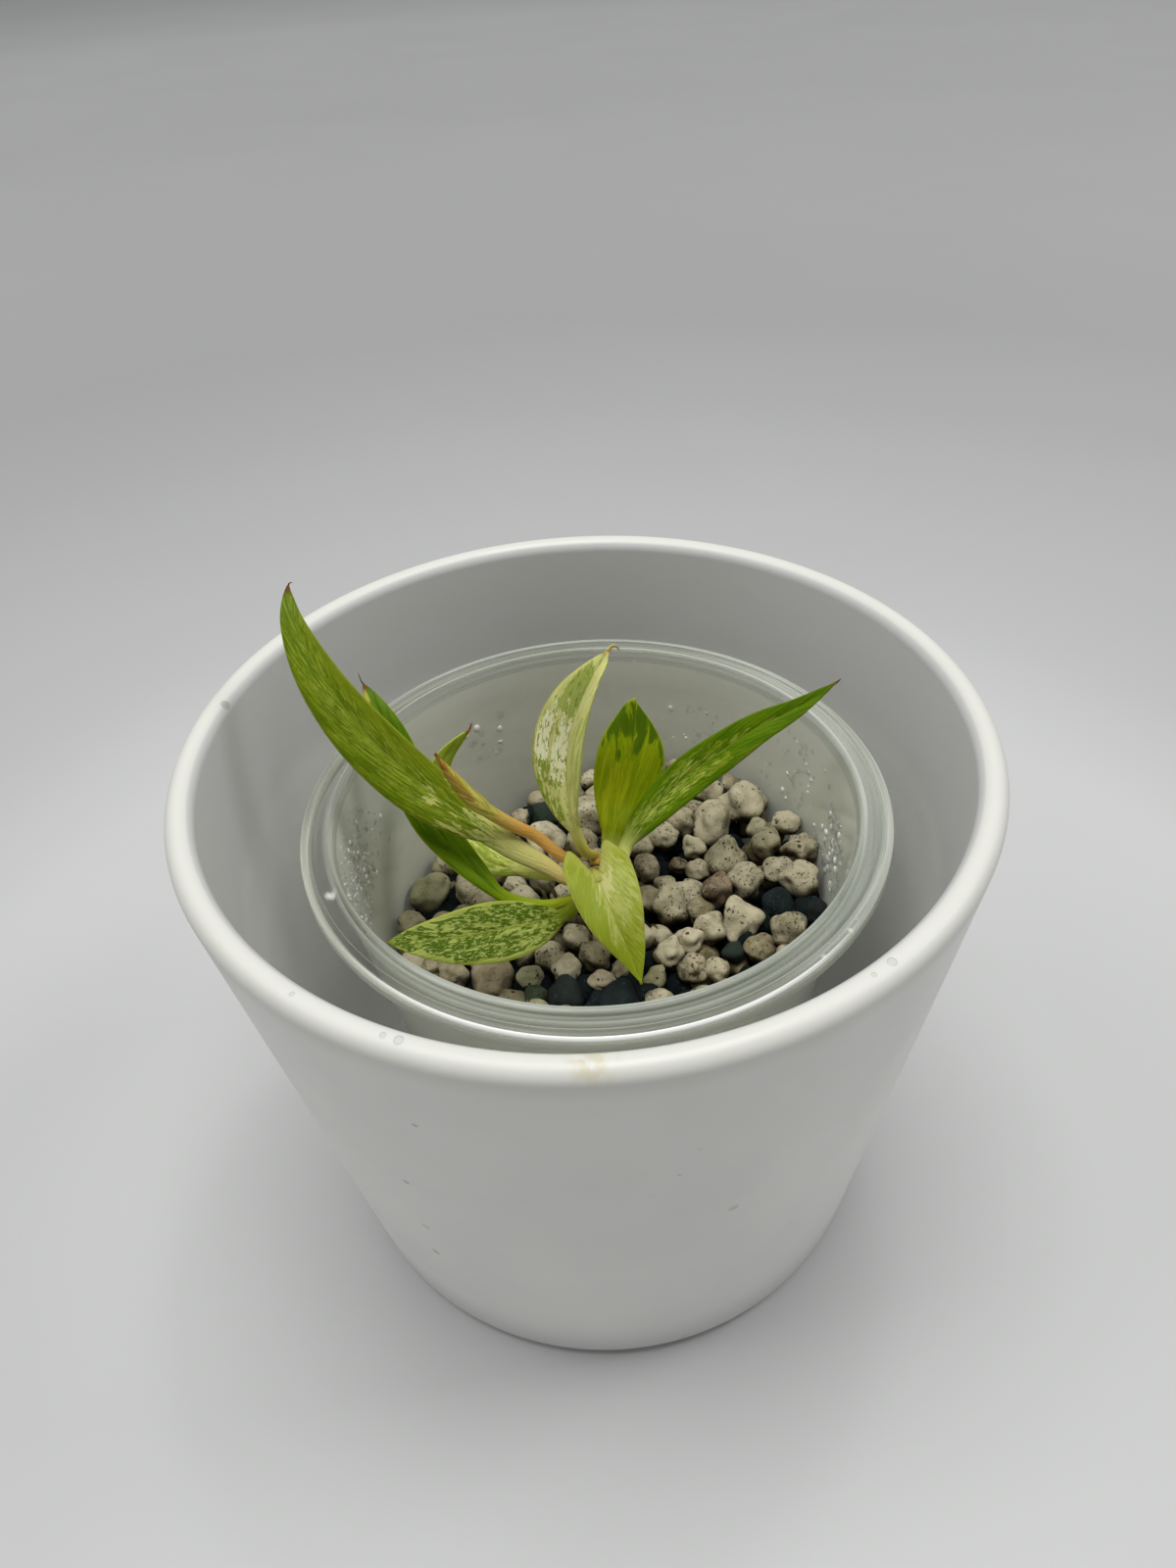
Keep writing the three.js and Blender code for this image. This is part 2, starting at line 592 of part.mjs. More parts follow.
// How far a lobe reaches back at a place on the blade.
function sweep(leaf, side, blade, u) {
  if (!leaf.lobe) return 0;
  const fade = Math.max(1 - blade / LOBE_ENDS, 0) ** LOBE_FADE;
  return leaf.lobe[side] * fade * Math.sin(LOBE_SWELL * Math.PI * u) ** 2;
}

// A closed strip through rows of points, with both faces split into the same triangles.
function stripGeometry(rows) {
  const wide = rows[0][0].length;
  const points = rows.flatMap((row) => row.flat());
  const upper = (i, j) => i * wide * 2 + j;
  const lower = (i, j) => i * wide * 2 + wide + j;
  const faces = [];
  const last = rows.length - 1;
  for (let i = 0; i < last; i++) {
    for (let j = 0; j < wide - 1; j++) {
      const [a, b, c, d] = [upper(i, j), upper(i + 1, j), upper(i + 1, j + 1), upper(i, j + 1)];
      const [e, f, g, h] = [lower(i, j), lower(i + 1, j), lower(i + 1, j + 1), lower(i, j + 1)];
      faces.push(a, d, c, a, c, b, e, g, h, e, f, g);
    }
    const [a, b, c, d] = [upper(i, 0), upper(i + 1, 0), lower(i + 1, 0), lower(i, 0)];
    const k = wide - 1;
    const [e, f, g, h] = [upper(i, k), upper(i + 1, k), lower(i + 1, k), lower(i, k)];
    faces.push(a, b, c, a, c, d, e, g, f, e, h, g);
  }
  for (let j = 0; j < wide - 1; j++) {
    const [a, b, c, d] = [upper(0, j), upper(0, j + 1), lower(0, j + 1), lower(0, j)];
    const [e, f, g, h] = [upper(last, j), upper(last, j + 1), lower(last, j + 1), lower(last, j)];
    faces.push(a, c, b, a, d, c, e, f, g, e, g, h);
  }
  const geometry = new THREE.BufferGeometry();
  const flat = new Float32Array(points.flatMap((p) => [p.x, p.y, p.z]));
  geometry.setAttribute("position", new THREE.BufferAttribute(flat, 3));
  geometry.setIndex(faces);
  return geometry;
}

// A closed leaf. Lobes reach back past the stalk's end, so a lobed blade is joined to its stalk.
function leafGeometry(leaf) {
  const curve = midrib(leaf.spine);
  const stalkRow = (share, columns) => crossRows(leaf, curve, share, columns, true);
  const onBlade = (along) => Math.min(leaf.stalk + (1 - leaf.stalk) * along, 1);
  const stalk = [];
  for (let i = 0; i < STALK_STEPS; i++) stalk.push((leaf.stalk * i) / STALK_STEPS);
  const blade = [];
  for (let i = 0; i <= BLADE_STEPS; i++)
    blade.push(crossRows(leaf, curve, onBlade(i / BLADE_STEPS), COLUMNS, false));
  if (!leaf.lobe)
    return stripGeometry([...stalk.map((share) => stalkRow(share, COLUMNS)), ...blade]);
  stalk.push(leaf.stalk, onBlade(UNDER_BLADE));
  const under = stalk.map((share) => stalkRow(share, UNDER_COLUMNS));
  return geometryOf(solid(stripGeometry(blade)).add(solid(stripGeometry(under))));
}

const plant = new THREE.Group();
plant.add(piece("outer_pot", coverPot(), POT_COLOR));
plant.add(piece("clear_cup", clearCup(), CUP_COLOR));
plant.add(...growingMedium());
plant.add(piece("crown", crown(), CROWN_COLOR));
for (const [name, leaf] of Object.entries(LEAVES)) {
  const look = { color: leaf.color, roughness: 0.5, side: THREE.DoubleSide };
  plant.add(piece(name, leafGeometry(leaf), look));
}

export default plant;
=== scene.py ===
import math
from functools import reduce
from itertools import combinations
from statistics import NormalDist

import bpy
import numpy as np
from mathutils import Matrix, Vector, noise


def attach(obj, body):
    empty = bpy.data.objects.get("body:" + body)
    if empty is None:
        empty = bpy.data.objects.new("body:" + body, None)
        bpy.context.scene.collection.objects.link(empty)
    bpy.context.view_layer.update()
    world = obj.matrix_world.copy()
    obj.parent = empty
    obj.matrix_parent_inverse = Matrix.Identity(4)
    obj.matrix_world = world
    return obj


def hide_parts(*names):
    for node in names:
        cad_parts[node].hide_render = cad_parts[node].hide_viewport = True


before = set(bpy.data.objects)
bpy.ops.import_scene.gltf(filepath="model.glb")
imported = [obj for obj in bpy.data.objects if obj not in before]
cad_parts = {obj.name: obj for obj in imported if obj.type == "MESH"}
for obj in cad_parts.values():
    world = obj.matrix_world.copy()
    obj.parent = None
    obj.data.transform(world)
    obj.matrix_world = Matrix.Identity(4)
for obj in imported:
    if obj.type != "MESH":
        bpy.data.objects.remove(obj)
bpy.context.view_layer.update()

# Sizes below are in millimetres, as on the solids, and MM turns them into metres.
MM = 0.001

# The cover pot and the clear cup.
RIM_RADIUS = 50
BASE_RADIUS = 39.4
POT_HEIGHT = 80
POT_FLOOR = 3
RIM_ROUND = 1.75
BASE_ROUND = 3
FLOOR_FILLET = 2
CUP_X = 1
CUP_WALL = 0.85
CUP_TOP = 69
FLANGE_RADIUS = 37.4
FLANGE_THICKNESS = 0.9
LIP_DEPTH = 2.4
MOUTH_RADIUS = 33.2
CUP_FLOOR_RADIUS = 24.1
FOOT_HEIGHT = 0.9
FOOT_WIDTH = 1.2
FOOT_INSET = 0.4
CORNER_CUT = 1.2
BAND_DROP = 0.2
BEAD_RADIUS = 0.6
GROOVE_WIDTH = 0.7
GROOVE_DEPTH = 0.25
RIDGE_OUT = 1.45
RIDGE_RADIUS = 0.16
RIDGE_FOOT = 0.25
LIP_EDGE = 0.5
GAP = 0.3
CUP_BASE = POT_FLOOR + GAP
CUP_FLOOR = CUP_BASE + FOOT_HEIGHT + CUP_WALL
TURNED_SIDES = 192

# The growing medium and the rule that places its grains, as on the solids.
SURFACE = {"middle": 48.4, "slope_x": 0.13, "twist": 0.004}
SEED = 20117
WALL_SINK = 0.4
FILL_PASSES = [
    {"tries": 4000, "low": 1.9, "high": 2.5, "drop": 0.5, "packing": 0.95},
    {"tries": 1500, "low": 1.3, "high": 1.7, "drop": 0.5, "packing": 0.95},
]
LANDMARKS = [
    (11, 12, 2.3), (8, 6.5, 1.9), (18, 12.5, 3), (23, 15.5, 3.2), (28, 10, 2.1), (25, 7, 2.2),
    (29.5, 5, 2.2), (28.5, 0, 2.4), (26, 2, 1.8), (19, 5, 2.6), (21, 1, 2.2), (15, 8.5, 1.7),
    (12.5, 6, 1.3), (15, 4.5, 1.5), (11, -1, 2.6), (13.5, 0.5, 1.6), (17, 0, 2.2), (14.5, -3, 1.7),
    (19.5, -6, 2.5), (15.5, -6, 2), (12.5, -7.5, 1.8), (9.5, -9.5, 2.3), (12.5, -12.5, 1.9),
    (15.5, -13, 1.5), (25.5, -8, 2.2), (21.5, -10.5, 1.9), (8, 0.5, 1.8), (0, -8, 2.2),
    (0.5, -12.5, 1.4), (-4, -10, 1.7), (-9, -10.5, 1.6), (-2.4, -4.3, 1.9), (1.4, -4.7, 1.7),
    (3, -11, 1.2),
    (-14, -10, 2.9), (-6.5, 16.5, 2.7), (0, 19.5, 3.4), (-10.5, 23, 1.8), (-11.5, 16.5, 1.6),
    (14, 25.5, 1.8), (18.5, 19, 1.9), (13.5, 14.5, 2.2), (14.5, 20.5, 1.6), (7.5, 11, 1.9),
    (1, 27.5, 1.8), (-2, 25.5, 1.7), (-11, 7.5, 1.6), (-23.5, 9.5, 2.8), (-21.5, 15, 2.2),
    (-17.5, 7.5, 1.9), (-26, 3.5, 2), (-15, 5, 1.8), (-22, -6.5, 1.6), (-19.5, -8, 1.7),
    (-18, 2.5, 1.8), (-8.5, 13.5, 1.8),
]
DARK_PATCHES = {
    "dark_grains_right": [(24.5, -3.5, 4.8), (28.5, -4, 3), (20, -7.5, 3), (16, -9.7, 2.4)],
    "dark_grains_front": [(-6.5, -10.5, 3.4), (-1.5, -12.5, 3.6), (4, -14, 3), (-8.5, -13, 2.6)],
    "dark_grains_back": [(-7, 22, 3.6), (-4, 23, 2.5)],
}

# The grains in the gaps and against the cup's wall, and the core behind them, which the solids
# don't have in this form.
UNDER_LAYER = {"tries": 6000, "low": 1.5, "high": 2.3, "drop": 2.8, "packing": 0.82, "clear": 0.1}
WALL_RINGS = {
    "first": 2.2, "apart": 3.5, "spacing": 4.1, "low": 1.8, "high": 2.4, "seat": 1.16,
    "sway": 0.2, "shift": 0.7,
}
WALL_TOP = SURFACE["middle"] - 5
CORE = {"drop": 4, "inset": 2.6, "top_radius": 24}

# The share of the lower grains and of those at the wall that are dark, how much of their
# lightness lower grains keep, how far they rise under a dark patch, and the dark grains' size.
# Lower grains are dark or dimmed: partly dark grains, partly painted shade in the gaps.
DARK_BELOW = 0.62
DARK_AT_WALL = 0.2
LIGHT_BELOW = 0.3
PATCH_RISE = 1.0
DARK_SIZE = 0.95

# Grains come in kinds: how common each is, how many knobs stand out, how high and how wide.
GRAIN_KINDS = {
    "smooth": {"share": 0.62, "knobs": 2, "height": 0.12, "width": 0.3},
    "lumpy": {"share": 0.24, "knobs": 5, "height": 0.22, "width": 0.12},
    "knobby": {"share": 0.09, "knobs": 11, "height": 0.3, "width": 0.05},
    "horned": {"share": 0.05, "knobs": 5, "height": 0.55, "width": 0.07},
}

# How uneven a grain is: its least and greatest stretch, the height and fineness of its broad
# waves and of its fine ones, and how much its furthest point counts in its size.
STRETCH = (0.84, 1.2)
BROAD_WAVES = (0.3, 1.3)
FINE_WAVES = (0.025, 5)
FURTHEST = 0.35

# Grains are this much larger than the solid ones, which leave gaps, and keep this far off the wall.
SWELL = 1.15
WALL_CLEARANCE = 0.12

# Landmarks that look unlike the rest: kind, lightness, specks and tint, each from 0 to 1 but the
# tint, which runs from -1, greenish, to 1, pinkish.
SPECIAL_GRAINS = {
    (23, 15.5): ("horned", 0.75, 0.4, 0.0),
    (19.5, -6): ("horned", 0.75, 0.35, 0.1),
    (12.5, -7.5): ("knobby", 1.0, 0.35, 0.0),
    (9.5, -9.5): ("knobby", 0.85, 0.3, 0.0),
    (28.5, 0): ("lumpy", 0.95, 0.6, 0.15),
    (21, 1): ("smooth", 0.85, 0.9, 0.0),
    (17, 0): ("knobby", 0.5, 0.7, 1.0),
    (12.5, -12.5): ("lumpy", 0.6, 1.0, 0.3),
    (25.5, -8): ("smooth", 0.6, 0.8, 0.0),
    (12.5, 6): ("smooth", 0.2, 0.8, 0.2),
    (11, -1): ("smooth", 0.7, 0.45, 0.0),
    (19, 5): ("lumpy", 0.5, 0.6, -0.3),
    (-23.5, 9.5): ("smooth", 0.55, 0.15, -0.8),
    (-26, 3.5): ("smooth", 0.5, 0.2, -0.4),
    (-9, -10.5): ("smooth", 0.7, 0.3, -0.7),
    (-6.5, 16.5): ("lumpy", 1.0, 0.35, 0.0),
    (-14, -10): ("lumpy", 0.6, 0.3, 0.5),
}

# The crown, and the feet of the leaf stalks on it.
CROWN = {"x": 0.4, "y": -0.6, "z": 54.5, "radius": 2.2, "stem": 1.6, "bottom": 41, "neck": 0.6}
SEAT = CROWN["radius"] + GAP + 0.1
FOOT = 1.1

# Leaf colours are given as they show in soft light, at this share of the surface's own.
SHOWN = 0.74

# A streak's width and length as a share of its noise cell.
STREAK = 0.6

# The distance between fine side veins.
VEIN_GAP = 0.45

# How soft the edges of dots are, as a share of their cell.
DOT_EDGE = 0.04

# How far noise strays from its middle, as a standard deviation.
NOISE_SPREAD = 0.105

# The stain on the cover pot's rim, and its size.
RIM_STAIN = (-1, -48.2, 80), 3.2


# Points and curves.


def unit(vector):
    """The vector at length one."""
    vector = np.asarray(vector, float)
    return vector / np.linalg.norm(vector)


def foot(dx, dy, dz):
    """Two points straight out of the crown's middle, where a stalk starts."""
    middle = np.array([CROWN["x"], CROWN["y"], CROWN["z"]])
    out = unit((dx, dy, dz))
    return [tuple(middle + out * reach) for reach in (SEAT, SEAT + FOOT)]


def smooth_curve(points, steps=24):
    """A centripetal Catmull-Rom curve through the points, with its length so far at each place."""
    given = np.asarray(points, float)
    ends = np.vstack([2 * given[0] - given[1], given, 2 * given[-1] - given[-2]])
    placed = []
    for i in range(1, len(ends) - 2):
        a, b, c, d = ends[i - 1 : i + 3]
        t1 = np.linalg.norm(b - a) ** 0.5
        t2 = t1 + np.linalg.norm(c - b) ** 0.5
        t3 = t2 + np.linalg.norm(d - c) ** 0.5
        for t in np.linspace(t1, t2, steps, endpoint=False):
            ab = ((t1 - t) * a + t * b) / t1
            bc = ((t2 - t) * b + (t - t1) * c) / (t2 - t1)
            cd = ((t3 - t) * c + (t - t2) * d) / (t3 - t2)
            abc = ((t2 - t) * ab + t * bc) / t2
            bcd = ((t3 - t) * bc + (t - t1) * cd) / (t3 - t1)
            placed.append(((t2 - t) * abc + (t - t1) * bcd) / (t2 - t1))
    placed.append(given[-1])
    placed = np.array(placed)
    steps_long = np.linalg.norm(np.diff(placed, axis=0), axis=1)
    return placed, np.concatenate([[0], np.cumsum(steps_long)])


def at_share(curve, share):
    """The place at a share of a curve's length, and the direction there."""
    places, lengths = curve
    total = lengths[-1]
    step = 0.005 * total

    def place(length):
        return np.array([np.interp(length, lengths, places[:, k]) for k in range(3)])

    length = share * total
    ahead = place(min(length + step, total))
    behind = place(max(length - step, 0))
    return place(length), unit(ahead - behind)


def arc(r, z, radius, start, end, steps):
    """Points of an arc in a turned profile's plane, with its angles in radians."""
    angles = np.linspace(start, end, steps + 1)
    return [(r + radius * math.cos(a), z + radius * math.sin(a)) for a in angles]


def between(a, b, share):
    """The point at a share of the way from a to b."""
    return tuple(p + (q - p) * share for p, q in zip(a, b))


def bounded(value):
    """The value, kept from 0 to 1."""
    return min(max(value, 0), 1)


# Meshes.


def mesh_piece(name, points, faces, look, replaces=(), marks=None):
    """A smooth-shaded piece from points in millimetres. It rides on the part's one body."""
    mesh = bpy.data.meshes.new(name)
    mesh.from_pydata((np.asarray(points, float) * MM).tolist(), [], faces)
    for label, values in (marks or {}).items():
        layer = mesh.attributes.new(label, "FLOAT_VECTOR", "POINT")
        layer.data.foreach_set("vector", np.asarray(values, np.float32).ravel())
    mesh.shade_smooth()
    mesh.materials.append(look)
    piece = bpy.data.objects.new(name, mesh)
    bpy.context.scene.collection.objects.link(piece)
    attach(piece, "root")
    if replaces:
        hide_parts(*replaces)


def turned(profile, sides, middle=(0, 0)):
    """Points and faces of a profile turned round the upright axis. Ends on the axis close it."""
    points, faces, rings = [], [], []
    for r, z in profile:
        if r < 1e-6:
            rings.append([len(points)])
            points.append((middle[0], middle[1], z))
            continue
        rings.append(list(range(len(points), len(points) + sides)))
        for i in range(sides):
            a = 2 * math.pi * i / sides
            points.append((middle[0] + r * math.cos(a), middle[1] + r * math.sin(a), z))
    for low, high in zip(rings, rings[1:]):
        for i in range(sides):
            j = (i + 1) % sides
            if len(low) == 1:
                faces.append((low[0], high[j], high[i]))
            elif len(high) == 1:
                faces.append((low[i], low[j], high[0]))
            else:
                faces.append((low[i], low[j], high[j], high[i]))
    return points, faces


def tube(points, radii, sides, flat):
    """Points and faces of a flattened tube along points, closed at both ends."""
    spine = np.asarray(points, float)
    made, faces = [], []
    side = None
    for i, centre in enumerate(spine):
        along = unit(spine[min(i + 1, len(spine) - 1)] - spine[max(i - 1, 0)])
        start = np.array([0.0, 0.0, 1.0]) if side is None else side
        if abs(start @ along) > 0.95:
            start = np.array([1.0, 0.0, 0.0])
        side = unit(start - along * (start @ along))
        other = np.cross(along, side) * flat
        for k in range(sides):
            a = 2 * math.pi * k / sides
            made.append(centre + radii[i] * (math.cos(a) * side + math.sin(a) * other))
    for i in range(len(spine) - 1):
        for k in range(sides):
            a, b = i * sides + k, i * sides + (k + 1) % sides
            faces.append((a, b, b + sides, a + sides))
    faces.append(tuple(reversed(range(sides))))
    faces.append(tuple(range((len(spine) - 1) * sides, len(spine) * sides)))
    return made, faces


# Materials.


class Look:
    """One procedural material, built node by node around its Principled shader."""

    def __init__(self, name, **values):
        self.material = bpy.data.materials.new(name)
        self.material.use_nodes = True
        self.tree = self.material.node_tree
        self.shader = self.tree.nodes["Principled BSDF"]
        for socket, value in values.items():
            self.shader.inputs[socket.replace("_", " ")].default_value = value

    def node(self, kind, *values, **settings):
        """A node with its settings, and its inputs given in order as values or sockets."""
        node = self.tree.nodes.new("ShaderNode" + kind)
        for key, value in settings.items():
            setattr(node, key, value)
        for socket, value in zip(node.inputs, values):
            self.give(socket, value)
        return node

    def give(self, socket, value):
        """Sets an input to a value, or links a socket to it."""
        if isinstance(value, bpy.types.NodeSocket):
            self.tree.links.new(value, socket)
        elif value is not None:
            socket.default_value = value

    def place(self):
        """The point on the object, in metres."""
        return self.node("TexCoord").outputs["Object"]

    def mark(self, name):
        """A named vector that the mesh carries on its points."""
        return self.node("Attribute", attribute_name=name).outputs["Vector"]

    def parts(self, vector):
        """The three numbers of a vector."""
        return self.node("SeparateXYZ", vector).outputs

    def math(self, operation, *values):
        """One sum on numbers."""
        return self.node("Math", *values, operation=operation).outputs[0]

    def times(self, *values):
        """The product of numbers."""
        return reduce(lambda a, b: self.math("MULTIPLY", a, b), values)

    def plus(self, *values):
        """The sum of numbers."""
        return reduce(lambda a, b: self.math("ADD", a, b), values)

    def most(self, *values):
        """The largest of numbers."""
        return reduce(lambda a, b: self.math("MAXIMUM", a, b), values)

    def stretched(self, vector, x, y, z):
        """A vector with its three numbers scaled."""
        return self.node("VectorMath", vector, (x, y, z), operation="MULTIPLY").outputs[0]

    def noise(self, vector, scale, detail=3, roughness=0.5, distortion=0.0):
        """Soft noise from 0 to 1."""
        node = self.node("TexNoise", vector)
        node.inputs["Scale"].default_value = scale
        node.inputs["Detail"].default_value = detail
        node.inputs["Roughness"].default_value = roughness
        node.inputs["Distortion"].default_value = distortion
        return node.outputs["Fac"]

    def dots(self, vector, scale, size):
        """Scattered dots, most of them small, the largest with this share of a cell as radius."""
        node = self.node("TexVoronoi", vector)
        node.inputs["Scale"].default_value = scale
        own = self.parts(node.outputs["Color"])[0]
        radius = self.times(self.math("POWER", own, 2.5), size)
        edge = self.math("SUBTRACT", node.outputs["Distance"], radius)
        return self.step(edge, DOT_EDGE, -DOT_EDGE)

    def step(self, value, low, high, to_low=0.0, to_high=1.0):
        """A smooth step from one value to another."""
        node = self.node("MapRange", value, low, high, to_low, to_high)
        node.interpolation_type = "SMOOTHSTEP"
        return node.outputs[0]

    def span(self, length, start, end, to_low=0.0, to_high=1.0):
        """A smooth step between two lengths in millimetres."""
        return self.step(length, start * MM, end * MM, to_low, to_high)

    def mixed(self, share, first, second):
        """A mix of two colours."""
        node = self.node("Mix", data_type="RGBA")
        self.give(node.inputs[0], share)
        self.give(node.inputs[6], first if not isinstance(first, tuple) else (*first, 1))
        self.give(node.inputs[7], second if not isinstance(second, tuple) else (*second, 1))
        return node.outputs[2]

    def ramp(self, value, stops):
        """A colour that runs through stops, each with its place from 0 to 1."""
        node = self.node("ValToRGB", value)
        band = node.color_ramp.elements
        band[0].position, band[0].color = stops[0][0], (*stops[0][1], 1)
        band[1].position, band[1].color = stops[-1][0], (*stops[-1][1], 1)
        for place, colour in stops[1:-1]:
            band.new(place).color = (*colour, 1)
        return node.outputs["Color"]

    def near(self, place, spot, reach):
        """1 at a spot in millimetres, falling to 0 at a reach from it."""
        spot = tuple(c * MM for c in spot)
        away = self.node("VectorMath", place, spot, operation="DISTANCE").outputs["Value"]
        return self.span(away, reach, 0.3 * reach)

    def paint(self, colour, share=None):
        """Lays a colour over the surface, or the given share of it over what is there."""
        self.painted = colour if share is None else self.mixed(share, self.painted, colour)
        self.give(self.shader.inputs["Base Color"], self.painted)

    def rough(self, value):
        """Sets the surface's roughness."""
        self.give(self.shader.inputs["Roughness"], value)

    def bump(self, height, distance, strength=1.0):
        """Adds relief from a height of 0 to 1, in millimetres."""
        node = self.node("Bump")
        node.inputs["Strength"].default_value = strength
        node.inputs["Distance"].default_value = distance * MM
        self.give(node.inputs["Height"], height)
        old = self.shader.inputs["Normal"]
        if old.is_linked:
            self.give(node.inputs["Normal"], old.links[0].from_socket)
        self.give(old, node.outputs["Normal"])

    def see_through(self, share, tint):
        """Lets light pass, all but the given share, which the surface keeps."""
        clear = self.node("BsdfTransparent", (*tint, 1))
        blend = self.node("MixShader", share, clear.outputs[0], self.shader.outputs[0])
        self.give(self.tree.nodes["Material Output"].inputs["Surface"], blend.outputs[0])


def srgb(*levels, shown=1.0):
    """A linear colour from 0 to 255 screen levels, which show the given share of it."""
    shares = [level / 255 for level in levels]
    linear = [s / 12.92 if s <= 0.04045 else ((s + 0.055) / 1.055) ** 2.4 for s in shares]
    return tuple(min(value / shown, 1.0) for value in linear)


def pot_look():
    """Satin white plastic, with faint clouds, a few specks of dust, a stain on the rim, and painted shade
    near its top, its base and inside.
    """
    look = Look("satin white plastic", Roughness=0.4)
    place = look.place()
    height = look.parts(place)[2]
    clouds = look.step(look.noise(place, 35, 4), 0.35, 0.7)
    look.paint(look.mixed(clouds, srgb(241, 241, 236), srgb(235, 235, 231)))
    # Painted shade: darker from 75 mm up over the rim's top, and down towards the base.
    look.paint(srgb(229, 229, 221), look.span(height, 75, 79))
    look.paint(srgb(218, 218, 216), look.span(height, 13, 0))
    # Painted shade inside the pot: darker above 66 mm, fading to white by 56 mm.
    wall = look.mixed(look.span(height, 66, 56), srgb(214, 214, 212), srgb(240, 240, 238))
    look.paint(wall, look.parts(look.mark("inside"))[0])
    dusty = look.step(look.noise(place, 60, 2), 0.55, 0.62)
    look.paint(srgb(150, 140, 120), look.times(look.dots(place, 220, 0.16), dusty, 0.5))
    patchy = look.step(look.noise(place, 700, 3), 0.4, 0.6)
    look.paint(srgb(214, 204, 168), look.times(look.near(place, *RIM_STAIN), patchy, 0.6))
    look.rough(look.step(look.noise(place, 90, 5), 0.3, 0.7, 0.34, 0.48))
    look.bump(look.noise(place, 700, 3), 0.02)
    look.bump(look.noise(place, 45, 2), 0.12)
    return look.material


# Painted highlights on the flange, each with its size: a white dot, glints on nicks in the lip and a
# glint at the back.
FLANGE_GLINTS = [
    ((-31, -13.7, 69), 1.1), ((24.9, -28.3, 68.5), 0.7), ((26.9, -26.6, 68.4), 0.6),
    ((28.5, -24.7, 68.5), 0.7), ((29.6, -23.1, 68.5), 0.5), ((8.5, 31.9, 67.8), 0.6),
]


def cup_look():
    """Cloudy clear plastic: see-through face on, whiter at a slant, banded on its flange, with painted
    reflections, light, shade and highlights.
    """
    look = Look("cloudy clear plastic", Roughness=0.12)
    place = look.place()
    x, y, height = look.parts(place)
    flat = look.node("CombineXYZ", look.plus(x, -CUP_X * MM), y).outputs[0]
    reach = look.node("VectorMath", flat, operation="LENGTH").outputs["Value"]
    around = [look.times(x, 25), look.times(y, 25)]
    bands = look.noise(look.node("CombineXYZ", look.times(reach, 1400), *around).outputs[0], 1, 3, 0.6)
    # Painted reflections: soft streaks that shift the wall's colour and how much it hides.
    reflection_streaks = look.noise(look.stretched(place, 1, 1, 3), 60, 4)
    on_flange = look.span(height, CUP_TOP - 1.6, CUP_TOP - 0.9)
    wall = look.mixed(look.step(reflection_streaks, 0.3, 0.7), srgb(240, 242, 230), srgb(226, 229, 216))
    flange = look.mixed(look.step(bands, 0.35, 0.65), srgb(196, 204, 192), srgb(228, 231, 220))
    look.bump(look.noise(place, 110, 3), 0.04)
    look.bump(look.times(bands, on_flange), 0.1)

    # How much the wall and the flange hide, more at a slant. At the front of the mouth they hide more, a
    # painted reflection that shows whiter.
    slant = look.node("LayerWeight", 0.5).outputs["Facing"]
    in_front = look.span(y, -18, -30)
    walls = look.plus(
        look.step(slant, 0.1, 0.9, 0.5, 0.86),
        look.step(reflection_streaks, 0.4, 0.75, -0.05, 0.1),
        look.times(look.span(height, CUP_TOP - 8, CUP_TOP - 3), in_front, 0.35),
    )
    # Painted shade in the groove: the flange lets more through there, so it shows darker.
    groove = look.times(look.span(reach, 34.2, 34.6), look.span(reach, 36.1, 35.8))
    rings = look.plus(
        look.step(slant, 0.15, 0.6, 0.12, 0.5),
        look.step(bands, 0.4, 0.7, -0.06, 0.08),
        look.times(groove, -0.14),
        look.times(look.span(reach, 34.6, 34.2), in_front, 0.35),
        # Painted light from the right: the flange hides more on its right side and less on its left.
        look.span(x, -15, -30, 0.0, -0.14),
        look.span(x, 15, 32, 0.0, 0.14),
    )
    share = look.node("Mix", on_flange, None, walls, rings).outputs[0]

    # Painted highlights: the flange's outer edge is painted white and nearly opaque, most at the front,
    # and so are the glints on it.
    outer = look.span(reach, FLANGE_RADIUS - 0.45, FLANGE_RADIUS - 0.35)
    upper = look.span(height, CUP_TOP - 0.8, CUP_TOP - 0.6)
    marks = [look.times(look.near(place, *mark), 0.7) for mark in FLANGE_GLINTS]
    edge = look.most(look.times(outer, upper, look.span(y, -20, -35, 0.25, 1.0)), *marks)
    look.paint(look.mixed(on_flange, wall, flange))
    look.paint(srgb(255, 255, 252), edge)
    look.see_through(look.most(share, look.times(edge, 0.95)), srgb(248, 248, 246))
    return look.material


def drop_look():
    """Clear water drops, with painted dark edges and painted glints."""
    look = Look("water drops", Roughness=0.02, IOR=1.33)
    tone = look.parts(look.mark("drop"))[0]
    # Painted glints: drops of high tone are white and nearly opaque.
    look.paint(look.mixed(look.step(tone, 0.55, 0.85), srgb(158, 162, 152), srgb(252, 252, 248)))
    # Painted dark edges: at a slant the grey body shows more.
    slant = look.node("LayerWeight", 0.3).outputs["Facing"]
    share = look.most(look.step(slant, 0.1, 0.9, 0.05, 0.7), look.step(tone, 0.5, 0.9))
    look.see_through(share, srgb(250, 252, 252))
    return look.material


